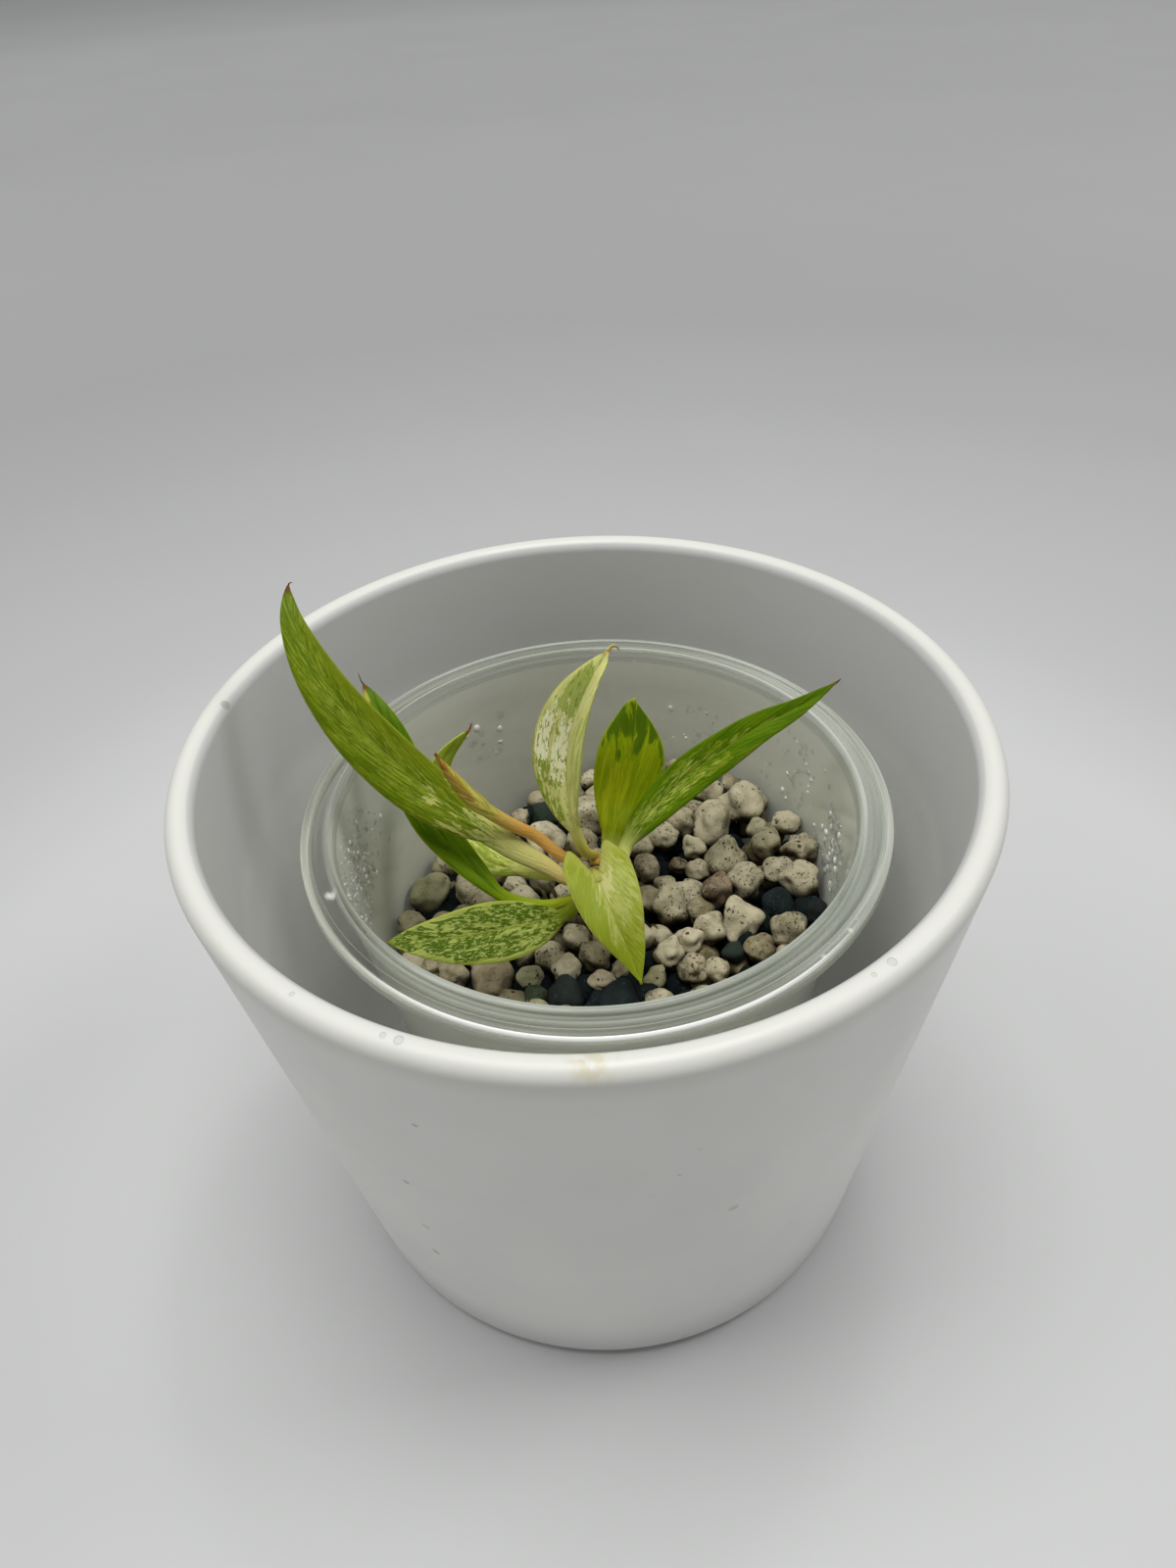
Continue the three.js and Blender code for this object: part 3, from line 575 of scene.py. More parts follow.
def grain_look(name, light, middle, stain_and_shade, speck_and_sheen):
    """Porous mineral, with painted shade and some brown dirt on the grains' lower sides. Each grain
    carries its own lightness, specks and tint.
    """
    look = Look(name, Roughness=0.9, Specular_IOR_Level=0.2)
    place = look.place()
    lightness, specks, tint = look.parts(look.mark("grain"))
    clouds = look.noise(place, 420, 4, 0.65)
    level = look.plus(look.times(lightness, 0.6), look.times(clouds, 0.9))
    look.paint(look.mixed(look.step(level, 0.3, 1.1), middle, light))
    look.paint(srgb(136, 104, 84), look.step(tint, 0.0, 1.0, 0.0, 0.5))
    look.paint(srgb(146, 156, 110), look.step(tint, 0.0, -1.0, 0.0, 0.5))
    stains = look.step(look.noise(place, 260, 4, 0.7), 0.5, 0.68)
    look.paint(stain_and_shade, look.times(stains, specks, 0.8))
    # Painted shade, with some brown dirt: sides that face down darken.
    upwards = look.parts(look.node("NewGeometry").outputs["Normal"])[2]
    look.paint(stain_and_shade, look.step(upwards, 0.65, -0.35, 0.0, 0.95))
    pits = look.step(look.noise(place, 2000, 2, 0.8, 0.4), 0.585, 0.63)
    where = look.plus(look.noise(place, 450, 3, 0.6), look.times(specks, 0.3))
    holes = look.most(look.dots(place, 900, 0.26), look.times(pits, look.step(where, 0.6, 0.7)))
    # Specks in the pores: dark on the pale grains, and pale on the dark grains, where they are painted
    # sheen.
    look.paint(speck_and_sheen, look.times(holes, 0.85))
    look.bump(look.noise(place, 480, 4, 0.6), 0.35)
    look.bump(look.noise(place, 1700, 3, 0.6), 0.12)
    look.bump(holes, -0.12)
    return look.material


def cover(share):
    """The noise level above which about this share of a surface lies."""
    return 0.5 - NOISE_SPREAD * NormalDist().inv_cdf(share)


def leaf_look(name, tones, layers, soft=0.015, rough=0.42):
    """A leaf's skin. Each point carries where it lies: "place" holds the share across, from -1
    to 1, and the share along the blade, below 0 on the stalk; "vein" holds how far the point
    lies across and along its side veins, in millimetres, and a number of the leaf's own.

    The tones are those of the body's darker and lighter streaks, the midrib, the margin, the
    blade's base, the stalk and the tip. A layer over the body is a colour, the width and length
    of its streaks, the share that they cover, and how strongly, then the stretch of the blade
    and the stretch across it where they lie. The streaks' edges are as soft as given."""
    look = Look(
        name, Roughness=rough, Specular_IOR_Level=0.1, Subsurface_Weight=0.1,
        Subsurface_Radius=(0.5, 0.9, 0.25), Subsurface_Scale=0.5 * MM,
    )
    deep, green, rib, margin, base, stalk, tip = (srgb(*levels, shown=SHOWN) for levels in tones)
    across, along, _ = look.parts(look.mark("place"))
    veins = look.mark("vein")

    def pattern(width, length, detail, roughness, distortion=0.0):
        scaled = look.stretched(veins, STREAK / width, STREAK / length, 1)
        return look.noise(scaled, 1, detail, roughness, distortion)

    def window(value, low, high, blend):
        start = look.step(value, low - blend, low + blend)
        return look.times(start, look.step(value, high + blend, high - blend))

    streaks = pattern(0.5, 4, 5, 0.65)
    look.paint(look.mixed(look.step(streaks, 0.38, 0.62), deep, green))
    wander = look.times(look.plus(pattern(1, 3, 4, 0.6), -0.5), 0.9)
    here, there = look.plus(along, wander), look.plus(across, wander)
    for levels, (width, length), share, strength, stretch, side in layers:
        inside = look.times(window(here, *stretch, 0.03 + 2 * soft), window(there, *side, 0.12))
        level = look.plus(pattern(width, length, 4, 0.65, 0.6), look.times(look.plus(inside, -1), 0.5))
        edge = cover(share)
        look.paint(srgb(*levels, shown=SHOWN), look.step(level, edge - soft, edge + soft, 0, strength))

    # Midrib, margin, stalk and tip.
    reach = look.math("ABSOLUTE", across)
    look.paint(rib, look.step(reach, 0.06, 0.0, 0.0, 0.4))
    look.paint(margin, look.step(reach, 0.92, 0.98, 0.0, 0.75))
    look.paint(base, look.step(along, 0.14, -0.02, 0.0, 0.8))
    look.paint(look.mixed(look.step(along, -0.35, -0.02), stalk, base), look.step(along, 0.01, -0.03))
    look.paint(tip, look.step(along, 0.965, 0.99))

    # Relief: fine side veins and a leathery grain.
    wave = look.math("SINE", look.times(look.parts(veins)[0], 2 * math.pi / VEIN_GAP))
    look.bump(look.step(wave, -1.0, 1.0), 0.03, 0.6)
    look.bump(pattern(0.25, 0.8, 4, 0.6), 0.09)
    look.rough(look.step(streaks, 0.3, 0.7, rough - 0.05, rough + 0.08))
    return look.material


# The cover pot.


def cover_pot():
    """A tapered pot with a rounded rim and base edge. Points of its inside carry a mark for painted
    shade.
    """
    lean = math.atan((RIM_RADIUS - BASE_RADIUS) / POT_HEIGHT)
    rim_r, rim_z = RIM_RADIUS - RIM_ROUND, POT_HEIGHT - RIM_ROUND
    base_r = BASE_RADIUS + BASE_ROUND * math.tan(lean) - BASE_ROUND / math.cos(lean)
    inner_r = rim_r - RIM_ROUND * math.cos(lean)
    inner_z = rim_z + RIM_ROUND * math.sin(lean)
    corner_r = inner_r - (inner_z - POT_FLOOR) * math.tan(lean)
    fillet_r = corner_r - FLOOR_FILLET
    base = arc(base_r, BASE_ROUND, BASE_ROUND, -math.pi / 2, -lean, 10)
    rim = arc(rim_r, rim_z, RIM_ROUND, -lean, math.pi - lean, 18)
    floor = arc(fillet_r, POT_FLOOR + FLOOR_FILLET, FLOOR_FILLET, 0, -math.pi / 2, 8)
    outside = [between(base[-1], rim[0], k / 12) for k in range(1, 12)]
    inside = [between(rim[-1], floor[0], k / 12) for k in range(1, 12)]
    profile = [(0, 0), *base, *outside, *rim, *inside, *floor, (0, POT_FLOOR)]
    points, faces = turned(profile, TURNED_SIDES)
    wall = math.tan(lean)
    inner = [math.hypot(p[0], p[1]) < inner_r - (inner_z - p[2]) * wall + 0.5 for p in points]
    marks = {"inside": [(float(n and p[2] > POT_FLOOR - 1), 0, 0) for n, p in zip(inner, points)]}
    mesh_piece("white_cover_pot", points, faces, pot_look(), ["outer_pot"], marks)


# The clear cup.


def cup_radius(z):
    """The cup's inner radius at a height."""
    share = (z - CUP_FLOOR) / (CUP_TOP - CUP_FLOOR)
    return CUP_FLOOR_RADIUS + share * (MOUTH_RADIUS - CUP_FLOOR_RADIUS)


def clear_cup():
    """A thin tapered cup with a ridged flange, a beaded mouth and a turned-down lip."""
    under = CUP_TOP - FLANGE_THICKNESS
    band = CUP_TOP - BAND_DROP
    foot_r = CUP_FLOOR_RADIUS - FOOT_INSET
    lip = FLANGE_RADIUS - FLANGE_THICKNESS
    bottom = CUP_TOP - LIP_DEPTH
    bead = MOUTH_RADIUS + BEAD_RADIUS
    groove = bead + BEAD_RADIUS + GROOVE_WIDTH / 2
    ridge = groove + RIDGE_OUT
    corner = 0.15
    profile = [
        (0, CUP_BASE + FOOT_HEIGHT),
        (foot_r - FOOT_WIDTH - FOOT_INSET, CUP_BASE + FOOT_HEIGHT),
        (foot_r - FOOT_WIDTH, CUP_BASE),
        (foot_r, CUP_BASE),
        (CUP_FLOOR_RADIUS + CUP_WALL, CUP_BASE + CORNER_CUT),
        *[(cup_radius(z) + CUP_WALL, z) for z in np.linspace(CUP_BASE + 8, under - 0.5, 10)],
        (cup_radius(under) + CUP_WALL, under),
        (lip - corner, under),
        (lip, under - corner),
        (lip, bottom + corner),
        (lip + corner, bottom),
        (FLANGE_RADIUS - corner, bottom),
        (FLANGE_RADIUS, bottom + corner),
        *arc(FLANGE_RADIUS - LIP_EDGE, band - LIP_EDGE, LIP_EDGE, 0, math.pi / 2, 6),
        (ridge + RIDGE_FOOT, band),
        *arc(ridge, band, RIDGE_RADIUS, 0, math.pi, 4),
        (ridge - RIDGE_FOOT, band),
        (groove + GROOVE_WIDTH / 2, band),
        (groove, band - GROOVE_DEPTH),
        *arc(bead, band, BEAD_RADIUS, 0, math.pi, 12),
        *[(cup_radius(z), z) for z in np.linspace(band - 0.3, CUP_FLOOR + CORNER_CUT, 14)],
        (CUP_FLOOR_RADIUS - CORNER_CUT, CUP_FLOOR),
        (0, CUP_FLOOR),
    ]
    points, faces = turned(profile, TURNED_SIDES, (CUP_X, 0))
    mesh_piece("clear_grow_cup", points, faces, cup_look(), ["clear_cup"])


# The growing medium.


def inside_cup(points):
    """The points, with those beyond the cup's inner wall pressed back to it."""
    flat = points[:, :2] - (CUP_X, 0)
    reach = np.hypot(flat[:, 0], flat[:, 1])
    limit = np.array([cup_radius(z) for z in points[:, 2]]) - WALL_CLEARANCE
    share = np.minimum(1, limit / np.maximum(reach, 1e-6))
    pressed = points.copy()
    pressed[:, :2] = flat * share[:, None] + (CUP_X, 0)
    return pressed


def surface_at(x, y):
    """The height of the top grains' middles."""
    return SURFACE["middle"] + SURFACE["slope_x"] * x + SURFACE["twist"] * x * y


def seeded_random(seed):
    """Even random numbers from a seed, the same ones that place the solid grains."""
    state = seed

    def wrapped(value):
        return value & 0xFFFFFFFF

    def draw():
        nonlocal state
        state = wrapped(state + 0x6D2B79F5)
        t = wrapped((state ^ (state >> 15)) * (1 | state))
        t = wrapped(t + wrapped((t ^ (t >> 7)) * (61 | t))) ^ t
        return wrapped(t ^ (t >> 14)) / 4294967296

    return draw


def patch_at(x, y):
    """The dark patch that holds a point, or none."""
    for name, circles in DARK_PATCHES.items():
        if any(math.hypot(x - cx, y - cy) < r for cx, cy, r in circles):
            return name
    return None


def top_grains():
    """The grains of the top layer, each as x, y, z, radius and patch."""
    draw = seeded_random(SEED)
    grains = []
    for x, y, r in LANDMARKS:
        grains.append((x, y, surface_at(x, y), r, None))
        draw()
    for rule in FILL_PASSES:
        for _ in range(rule["tries"]):
            angle = draw() * 2 * math.pi
            reach = math.sqrt(draw()) * MOUTH_RADIUS
            r = rule["low"] + draw() * (rule["high"] - rule["low"])
            draw()
            x = CUP_X + reach * math.cos(angle)
            y = reach * math.sin(angle)
            z = surface_at(x, y) - rule["drop"]
            if reach + r > cup_radius(z) + WALL_SINK:
                continue
            if math.hypot(x - CROWN["x"], y - CROWN["y"]) < r + CROWN["stem"]:
                continue
            near = rule["packing"]
            if any(math.hypot(g[0] - x, g[1] - y) < (g[3] + r) * near for g in grains):
                continue
            grains.append((x, y, z, r, patch_at(x, y)))
    return grains


def icosphere(level):
    """Points on a unit sphere and its triangles, finer with each level."""
    golden = (1 + 5**0.5) / 2
    corners = []
    for a, b in ((1, golden), (-1, golden), (1, -golden), (-1, -golden)):
        corners += [(0, a, b), (a, b, 0), (b, 0, a)]
    points = [tuple(unit(c)) for c in corners]
    side = 2 / math.hypot(1, golden) + 0.01
    faces = []
    for i, j, k in combinations(range(len(points)), 3):
        a, b, c = (np.array(points[n]) for n in (i, j, k))
        if max(np.linalg.norm(a - b), np.linalg.norm(b - c), np.linalg.norm(a - c)) > side:
            continue
        outward = np.cross(b - a, c - a) @ (a + b + c) > 0
        faces.append((i, j, k) if outward else (i, k, j))
    for _ in range(level):
        middles, finer = {}, []

        def middle(a, b):
            key = (min(a, b), max(a, b))
            if key not in middles:
                middles[key] = len(points)
                points.append(tuple(unit(np.add(points[a], points[b]))))
            return middles[key]

        for a, b, c in faces:
            ab, bc, ca = middle(a, b), middle(b, c), middle(c, a)
            finer += [(a, ab, ca), (b, bc, ab), (c, ca, bc), (ab, bc, ca)]
        faces = finer
    return np.array(points), faces


SPHERES = {level: icosphere(level) for level in (1, 2, 3)}


class Grains:
    """Lumpy grains gathered into one mesh."""

    def __init__(self, seed):
        self.random = np.random.default_rng(seed)
        self.points, self.faces, self.marks = [], [], []

    def add(self, x, y, z, radius, level, kind, lightness, specks=0.4, tint=0.0):
        """One grain of a kind, turned at random, with its own tones."""
        shape, faces = SPHERES[level]
        random = self.random
        rule = GRAIN_KINDS[kind]
        axis = unit(random.normal(size=3))
        turn = np.array(Matrix.Rotation(random.uniform(0, 2 * math.pi), 3, axis))
        stretch = random.uniform(*STRETCH, 3)
        shift = random.uniform(0, 100, 3)
        height, fineness = BROAD_WAVES
        reach = np.array([1 + height * noise.noise(Vector(p * fineness + shift)) for p in shape])
        for _ in range(rule["knobs"]):
            towards = unit(random.normal(size=3))
            high = rule["height"] * random.uniform(0.4, 1.0)
            reach += high * np.exp((shape @ towards - 1) / rule["width"])
        reach /= FURTHEST * reach.max() + (1 - FURTHEST) * reach.mean()
        if level > 2:
            height, fineness = FINE_WAVES
            reach += [height * noise.noise(Vector(p * fineness - shift)) for p in shape]
        placed = shape * stretch * reach[:, None] * radius * SWELL
        first = len(self.points)
        self.points.extend(inside_cup(placed @ turn.T + np.array([x, y, z])))
        self.faces.extend((first + a, first + b, first + c) for a, b, c in faces)
        self.marks.extend([(lightness, specks, tint)] * len(shape))

    def piece(self, name, look, slot, *nodes):
        """The gathered grains as a piece that stands for the nodes."""
        marks = {"grain": self.marks}
        mesh_piece(name, self.points, self.faces, look, nodes, marks)


def under_grains():
    """A second layer that shows in the gaps between the top grains."""
    random = np.random.default_rng(SEED + 1)
    rule = UNDER_LAYER
    grains = []
    for _ in range(rule["tries"]):
        angle = random.uniform(0, 2 * math.pi)
        reach = math.sqrt(random.uniform(0, 1)) * MOUTH_RADIUS
        r = random.uniform(rule["low"], rule["high"])
        x, y = CUP_X + reach * math.cos(angle), reach * math.sin(angle)
        z = surface_at(x, y) - rule["drop"]
        if reach + r > cup_radius(z) - rule["clear"]:
            continue
        near = rule["packing"]
        if any(math.hypot(g[0] - x, g[1] - y) < (g[3] + r) * near for g in grains):
            continue
        grains.append((x, y, z, r))
    return grains


def wall_grains():
    """The grains that press against the cup's wall, ring above ring."""
    random = np.random.default_rng(SEED + 2)
    rule = WALL_RINGS
    grains = []
    for ring in np.arange(CUP_FLOOR + rule["first"], WALL_TOP, rule["apart"]):
        count = int(2 * math.pi * cup_radius(ring) / rule["spacing"])
        start = random.uniform(0, 1)
        for k in range(count):
            sway = random.uniform(-rule["sway"], rule["sway"])
            angle = 2 * math.pi * (k + start + sway) / count
            r = random.uniform(rule["low"], rule["high"])
            z = ring + random.uniform(-rule["shift"], rule["shift"])
            reach = cup_radius(z) - r * rule["seat"] - GAP
            grains.append((CUP_X + reach * math.cos(angle), reach * math.sin(angle), z, r))
    return grains


def medium_core():
    """A plain dark core, painted shade that closes the view between the grains."""
    top = SURFACE["middle"] - CORE["drop"]
    side = [(cup_radius(z) - CORE["inset"], z) for z in np.linspace(CUP_FLOOR + 1, top - 2, 6)]
    profile = [(0, CUP_FLOOR + 0.5), *side, (CORE["top_radius"], top), (0, top)]
    return turned(profile, 48, (CUP_X, 0))


def growing_medium():
    """Pale grains over darker ones, partly painted shade, and the dark grains of each patch."""
    pale_grain = grain_look(
        "pale mineral grains",
        srgb(197, 188, 158), srgb(110, 98, 65), srgb(50, 39, 19), srgb(34, 26, 14),
    )
    # The dark grains' last colour, paler than the rest, is painted sheen on their specks.
    dark_grain = grain_look(
        "dark mineral grains",
        srgb(24, 40, 40), srgb(9, 17, 18), srgb(4, 6, 6), srgb(52, 70, 68),
    )
    pale, pale_below, dark_below = (Grains(SEED + k) for k in (3, 8, 9))
    dark = {name: Grains(SEED + 4 + i) for i, name in enumerate(DARK_PATCHES)}
    choose = np.random.default_rng(SEED + 12)
    kinds = list(GRAIN_KINDS)
    shares = [GRAIN_KINDS[kind]["share"] for kind in kinds]
    for x, y, z, r, patch in top_grains():
        kind = choose.choice(kinds, p=shares)
        tones = (choose.uniform(0.25, 0.95), choose.uniform(0.15, 0.7), choose.normal(0, 0.18))
        if patch is None:
            kind, *tones = SPECIAL_GRAINS.get((x, y), (kind, *tones))
            pale.add(x, y, z, r, 3 if (x, y, r) in LANDMARKS else 2, kind, *tones)
        else:
            dark[patch].add(x, y, z, r * DARK_SIZE, 2, "smooth", *tones)
    # Lower grains: dimmed, or dark, as painted shade in the gaps and as dark grains.
    for x, y, z, r in under_grains():
        patch = patch_at(x, y)
        light = choose.uniform(0, 0.5)
        if patch is not None:
            dark[patch].add(x, y, z + PATCH_RISE, r, 2, "smooth", light)
        elif choose.uniform() < DARK_BELOW:
            dark_below.add(x, y, z, r, 2, "smooth", LIGHT_BELOW * light)
        else:
            pale_below.add(x, y, z, r, 2, "smooth", LIGHT_BELOW * light)
    for x, y, z, r in wall_grains():
        below = dark_below if choose.uniform() < DARK_AT_WALL else pale_below
        below.add(x, y, z, r, 1, "lumpy", choose.uniform(0.2, 0.9))
    points, faces = medium_core()
    dark_below.faces.extend(tuple(len(dark_below.points) + i for i in face) for face in faces)
    dark_below.points.extend(np.array(points))
    dark_below.marks.extend([(0.0, 0.0, 0.0)] * len(points))
    pale.piece("pale_mineral_grains", pale_grain, "pale_mineral", "pale_grains")
    pale_below.piece("pale_mineral_below", pale_grain, "pale_mineral")
    dark_below.piece("dark_mineral_below", dark_grain, "dark_mineral")
    for name, grains in dark.items():
        grains.piece(name.replace("dark_grains", "dark_mineral"), dark_grain, "dark_mineral", name)


# The leaves. Each has its midrib from stalk to tip, the share of it that is stalk, the stalk's
# width and thickness at both ends, the greatest half widths and where they lie, how the outline
# rises and tapers, the angles in degrees by which each half rises at the rib and at the edge,
# the direction that the upper side faces at the base, middle and tip, how far its side veins run
# along for each millimetre out, and any dry hair that its tip ends in, with its radius where it
# is thick. The furled leaf is rolled up. The heart-shaped one starts at a shoulder, a share of its
# greatest half width, and its halves sweep back in lobes. Left before right.

LEAVES = {
    "leaf_long_left": {
        "spine": [*foot(-0.93, -0.1, 0.35), (-6, -0.6, 58.5), (-10.5, 0, 62), (-18.3, 1.5, 69),
                  (-25.8, 4, 77), (-31, 7.5, 84), (-34.6, 13, 90), (-35.5, 17, 93)],
        "stalk": 0.19, "ends": ((1.5, 1.2), (3.2, 1.6)),
        "half": (4.2, 3.2), "belly": 0.38, "rise": 0.9, "taper": (0.6, 0.8),
        "fold": ((10, -8), (10, -8)),
        "face": ((0.2, -0.6, 0.8), (0.2, -0.72, 0.66), (0.1, -0.9, 0.4)),
        "veins": 9, "hair": [(-35.3, 17.2, 93.3), (-34.9, 17.2, 93.4)],
    },
    "leaf_furled": {
        "spine": [*foot(-0.6, 0.45, 0.66), (-3.5, 0.7, 58.5), (-7, 1.5, 62), (-10, 0.5, 65.3),
                  (-13.4, -1.2, 70.4), (-16, -1.4, 75), (-18, -1, 79)],
        "stalk": 0.55, "ends": ((1.5, 1.3), (1.8, 1.6)), "furled": True,
        "half": (1.1, 1.1), "belly": 0.3, "rise": 0.8, "taper": (0.8, 0.8),
        "fold": ((0, 0), (0, 0)),
        "face": ((0.4, -0.6, 0.7), (0.4, -0.6, 0.7), (0.4, -0.6, 0.7)),
        "veins": 5,
    },
    "leaf_dark_left": {
        "spine": [*foot(-0.85, -0.35, -0.38), (-6, -3.2, 53.5), (-9.2, -3.5, 54.5), (-12, -3.2, 56),
                  (-15, -1.4, 58.5), (-18, 1, 61), (-20.5, 3, 64), (-23, 6.7, 68),
                  (-25, 10.5, 73.5), (-28.5, 16, 78)],
        "stalk": 0.2, "ends": ((1.5, 1.2), (1.8, 1.4)),
        "half": (2.6, 2.6), "belly": 0.5, "rise": 0.8, "taper": (0.6, 0.6),
        "fold": ((20, 0), (20, 0)),
        "face": ((0, -0.6, 0.8), (0.3, -0.6, 0.7), (0.3, -0.8, 0.5)),
        "veins": 7, "hair": [(-28.8, 16.2, 78.6), (-29, 16.5, 79.6)],
    },
    "leaf_mottled": {
        "spine": [*foot(-0.5, -0.86, 0.08), (-3.4, -6.2, 55), (-6, -8, 56), (-9.5, -10.6, 58),
                  (-16.7, -15, 61.5), (-21, -16.6, 63), (-24.5, -18, 64.5)],
        "stalk": 0.16, "ends": ((1.5, 1.2), (1.8, 1.3)),
        "half": (4.2, 3.6), "belly": 0.45, "rise": 0.6, "taper": (0.75, 0.75),
        "fold": ((8, 0), (8, 0)),
        "face": ((0.2, -0.45, 0.87), (0.25, -0.5, 0.83), (0.3, -0.4, 0.85)),
        "veins": 9,
    },
    "leaf_back_left": {
        "spine": [*foot(-0.75, 0.62, -0.1), (-6, 0.6, 55.5), (-9.7, 1.5, 56), (-13.6, 2.5, 56.5),
                  (-17.6, 5, 58), (-20.4, 9, 60.5), (-20.7, 12.4, 63), (-19, 14, 66.5),
                  (-15.3, 15.2, 70)],
        "stalk": 0.2, "ends": ((1.4, 1.1), (1.6, 1.2)),
        "half": (2.4, 2.4), "belly": 0.35, "rise": 0.8, "taper": (0.7, 0.7),
        "fold": ((15, 0), (15, 0)),
        "face": ((0, -0.5, 0.85), (0.4, -0.4, 0.8), (0.6, -0.75, 0.2)),
        "veins": 6, "hair": [(-15, 15.3, 70.6), (-14.9, 15.3, 71)],
    },
    "leaf_cream": {
        "spine": [*foot(0.1, 0.85, 0.5), (-0.6, 1, 59), (-1.7, 1.2, 63), (-2.2, 3.4, 69),
                  (-1.6, 5.3, 74), (0, 6.8, 79), (2, 8.1, 82.5), (3.9, 9.9, 84.8)],
        "stalk": 0.22, "ends": ((1.5, 1.2), (1.6, 1.3)),
        "half": (4.9, 3.2), "belly": 0.47, "rise": 0.9, "taper": (0.85, 0.7),
        "fold": ((4, -10), (62, 40)),
        "face": ((-0.2, -0.75, 0.5), (-0.15, -0.85, 0.5), (-0.1, -0.85, 0.5)),
        "veins": 12, "hair_radius": 0.42,
        "hair": [(4.5, 10.3, 85.3), (5.1, 10.4, 85.1), (5.4, 10.5, 84.5)],
    },
    "leaf_broad_back": {
        "spine": [*foot(0.75, 0.6, 0.1), (3.2, 3.8, 58.5), (4.8, 8, 62.5), (6.5, 11, 67),
                  (7.3, 13.5, 70), (7.5, 15.8, 73)],
        "stalk": 0.15, "ends": ((1.6, 1.2), (3, 1.3)),
        "half": (4.7, 4.7), "belly": 0.6, "rise": 0.9, "taper": (0.65, 1.3),
        "fold": ((14, 6), (14, 6)),
        "face": ((0, -0.75, 0.6), (0, -0.75, 0.6), (0, -0.8, 0.5)),
        "veins": 9,
    },
    "leaf_right": {
        "spine": [*foot(0.85, 0, 0.52), (5, 2.1, 58.7), (8, 3.5, 62.5), (13.7, 4.8, 68),
                  (18, 4.5, 72), (22.4, 4.4, 75.5), (27, 4, 78.5), (31.7, 4, 82)],
        "stalk": 0.1, "ends": ((1.6, 1.2), (1.9, 1.3)),
        "half": (2.6, 2.9), "belly": 0.38, "rise": 0.6, "taper": (0.85, 0.85),
        "fold": ((18, 5), (18, 5)),
        "face": ((-0.3, -0.7, 0.6), (-0.4, -0.7, 0.55), (-0.4, -0.7, 0.6)),
        "veins": 9, "hair": [(32, 4, 82.3), (32.2, 4, 82.5)],
    },
    "leaf_heart": {
        "spine": [*foot(0.02, -0.55, 0.84), (0.4, -3.2, 58.7), (0.5, -4.1, 59.8), (0.8, -5.8, 60.6),
                  (1.4, -8.4, 60.4), (2.6, -12, 59), (4.2, -14.8, 56), (5.4, -17.3, 53)],
        "stalk": 0.23, "ends": ((1.4, 1.1), (1.4, 1.1)),
        "half": (4.9, 4.1), "belly": 0.12, "rise": 1, "taper": (1.05, 1.05),
        "shoulder": 0.8, "lobe": (4.6, 3.8),
        "fold": ((16, -5), (16, -5)),
        "face": ((0, 0.6, 0.8), (0, -0.6, 0.8), (0, -0.75, 0.6)),
        "veins": 3.5,
    },
}

# How blades and stalks are built, as on the solids but thinner and in more steps.
BLADE_THICKNESS = 0.42
EDGE_THICKNESS = 0.18
OPENS_BY = 0.15
FADES_OVER = 0.12
FLAT_BY = 0.3
LOBE_ENDS = 0.45
LOBE_FADE = 1.3
LOBE_SWELL = 0.68
STALK_ROUND = 0.97
FURL_THICKNESS = 1.7
UNDER_BLADE = 0.11
STALK_STEPS = 12
BLADE_STEPS = 72
HALF_STEPS = 10
CROWDING = 1.25
FURROW_WIDTH = 0.35
FURROW_DEPTH = 0.1
RIB_HEIGHT = 0.22
WAVE_LENGTH = 7
WAVE_HEIGHT = 0.28
HAIR_RADIUS = 0.18
HAIR_END = 0.05
HAIR_DEPTH = 0.5


def outline(leaf, along, side):
    """The share of the greatest half width at a place along the blade, from 0 to 1."""
    belly = leaf["belly"]
    shoulder = leaf.get("shoulder", 0)
    if along < belly:
        swell = math.sin(math.pi / 2 * along / belly) ** leaf["rise"]
        return shoulder + (1 - shoulder) * swell
    fall = math.cos(math.pi / 2 * (along - belly) / (1 - belly))
    return max(fall, 0) ** leaf["taper"][side]


def facing(leaf, share):
    """The direction that the upper side faces at a share of the midrib."""
    x = share * 2
    i = min(int(x), 1)
    first, second = (np.array(leaf["face"][k], float) for k in (i, i + 1))
    return first + (second - first) * (x - i)


def bent(half, u, rib, edge):
    """The angle at a share of a half, and how far out and up it lies, on an arc from the rib."""
    bend = edge - rib
    angle = rib + bend * u
    if abs(bend) < 1e-6:
        return angle, half * u * math.cos(rib), half * u * math.sin(rib)
    out = half * (math.sin(angle) - math.sin(rib)) / bend
    return angle, out, -half * (math.cos(angle) - math.cos(rib)) / bend


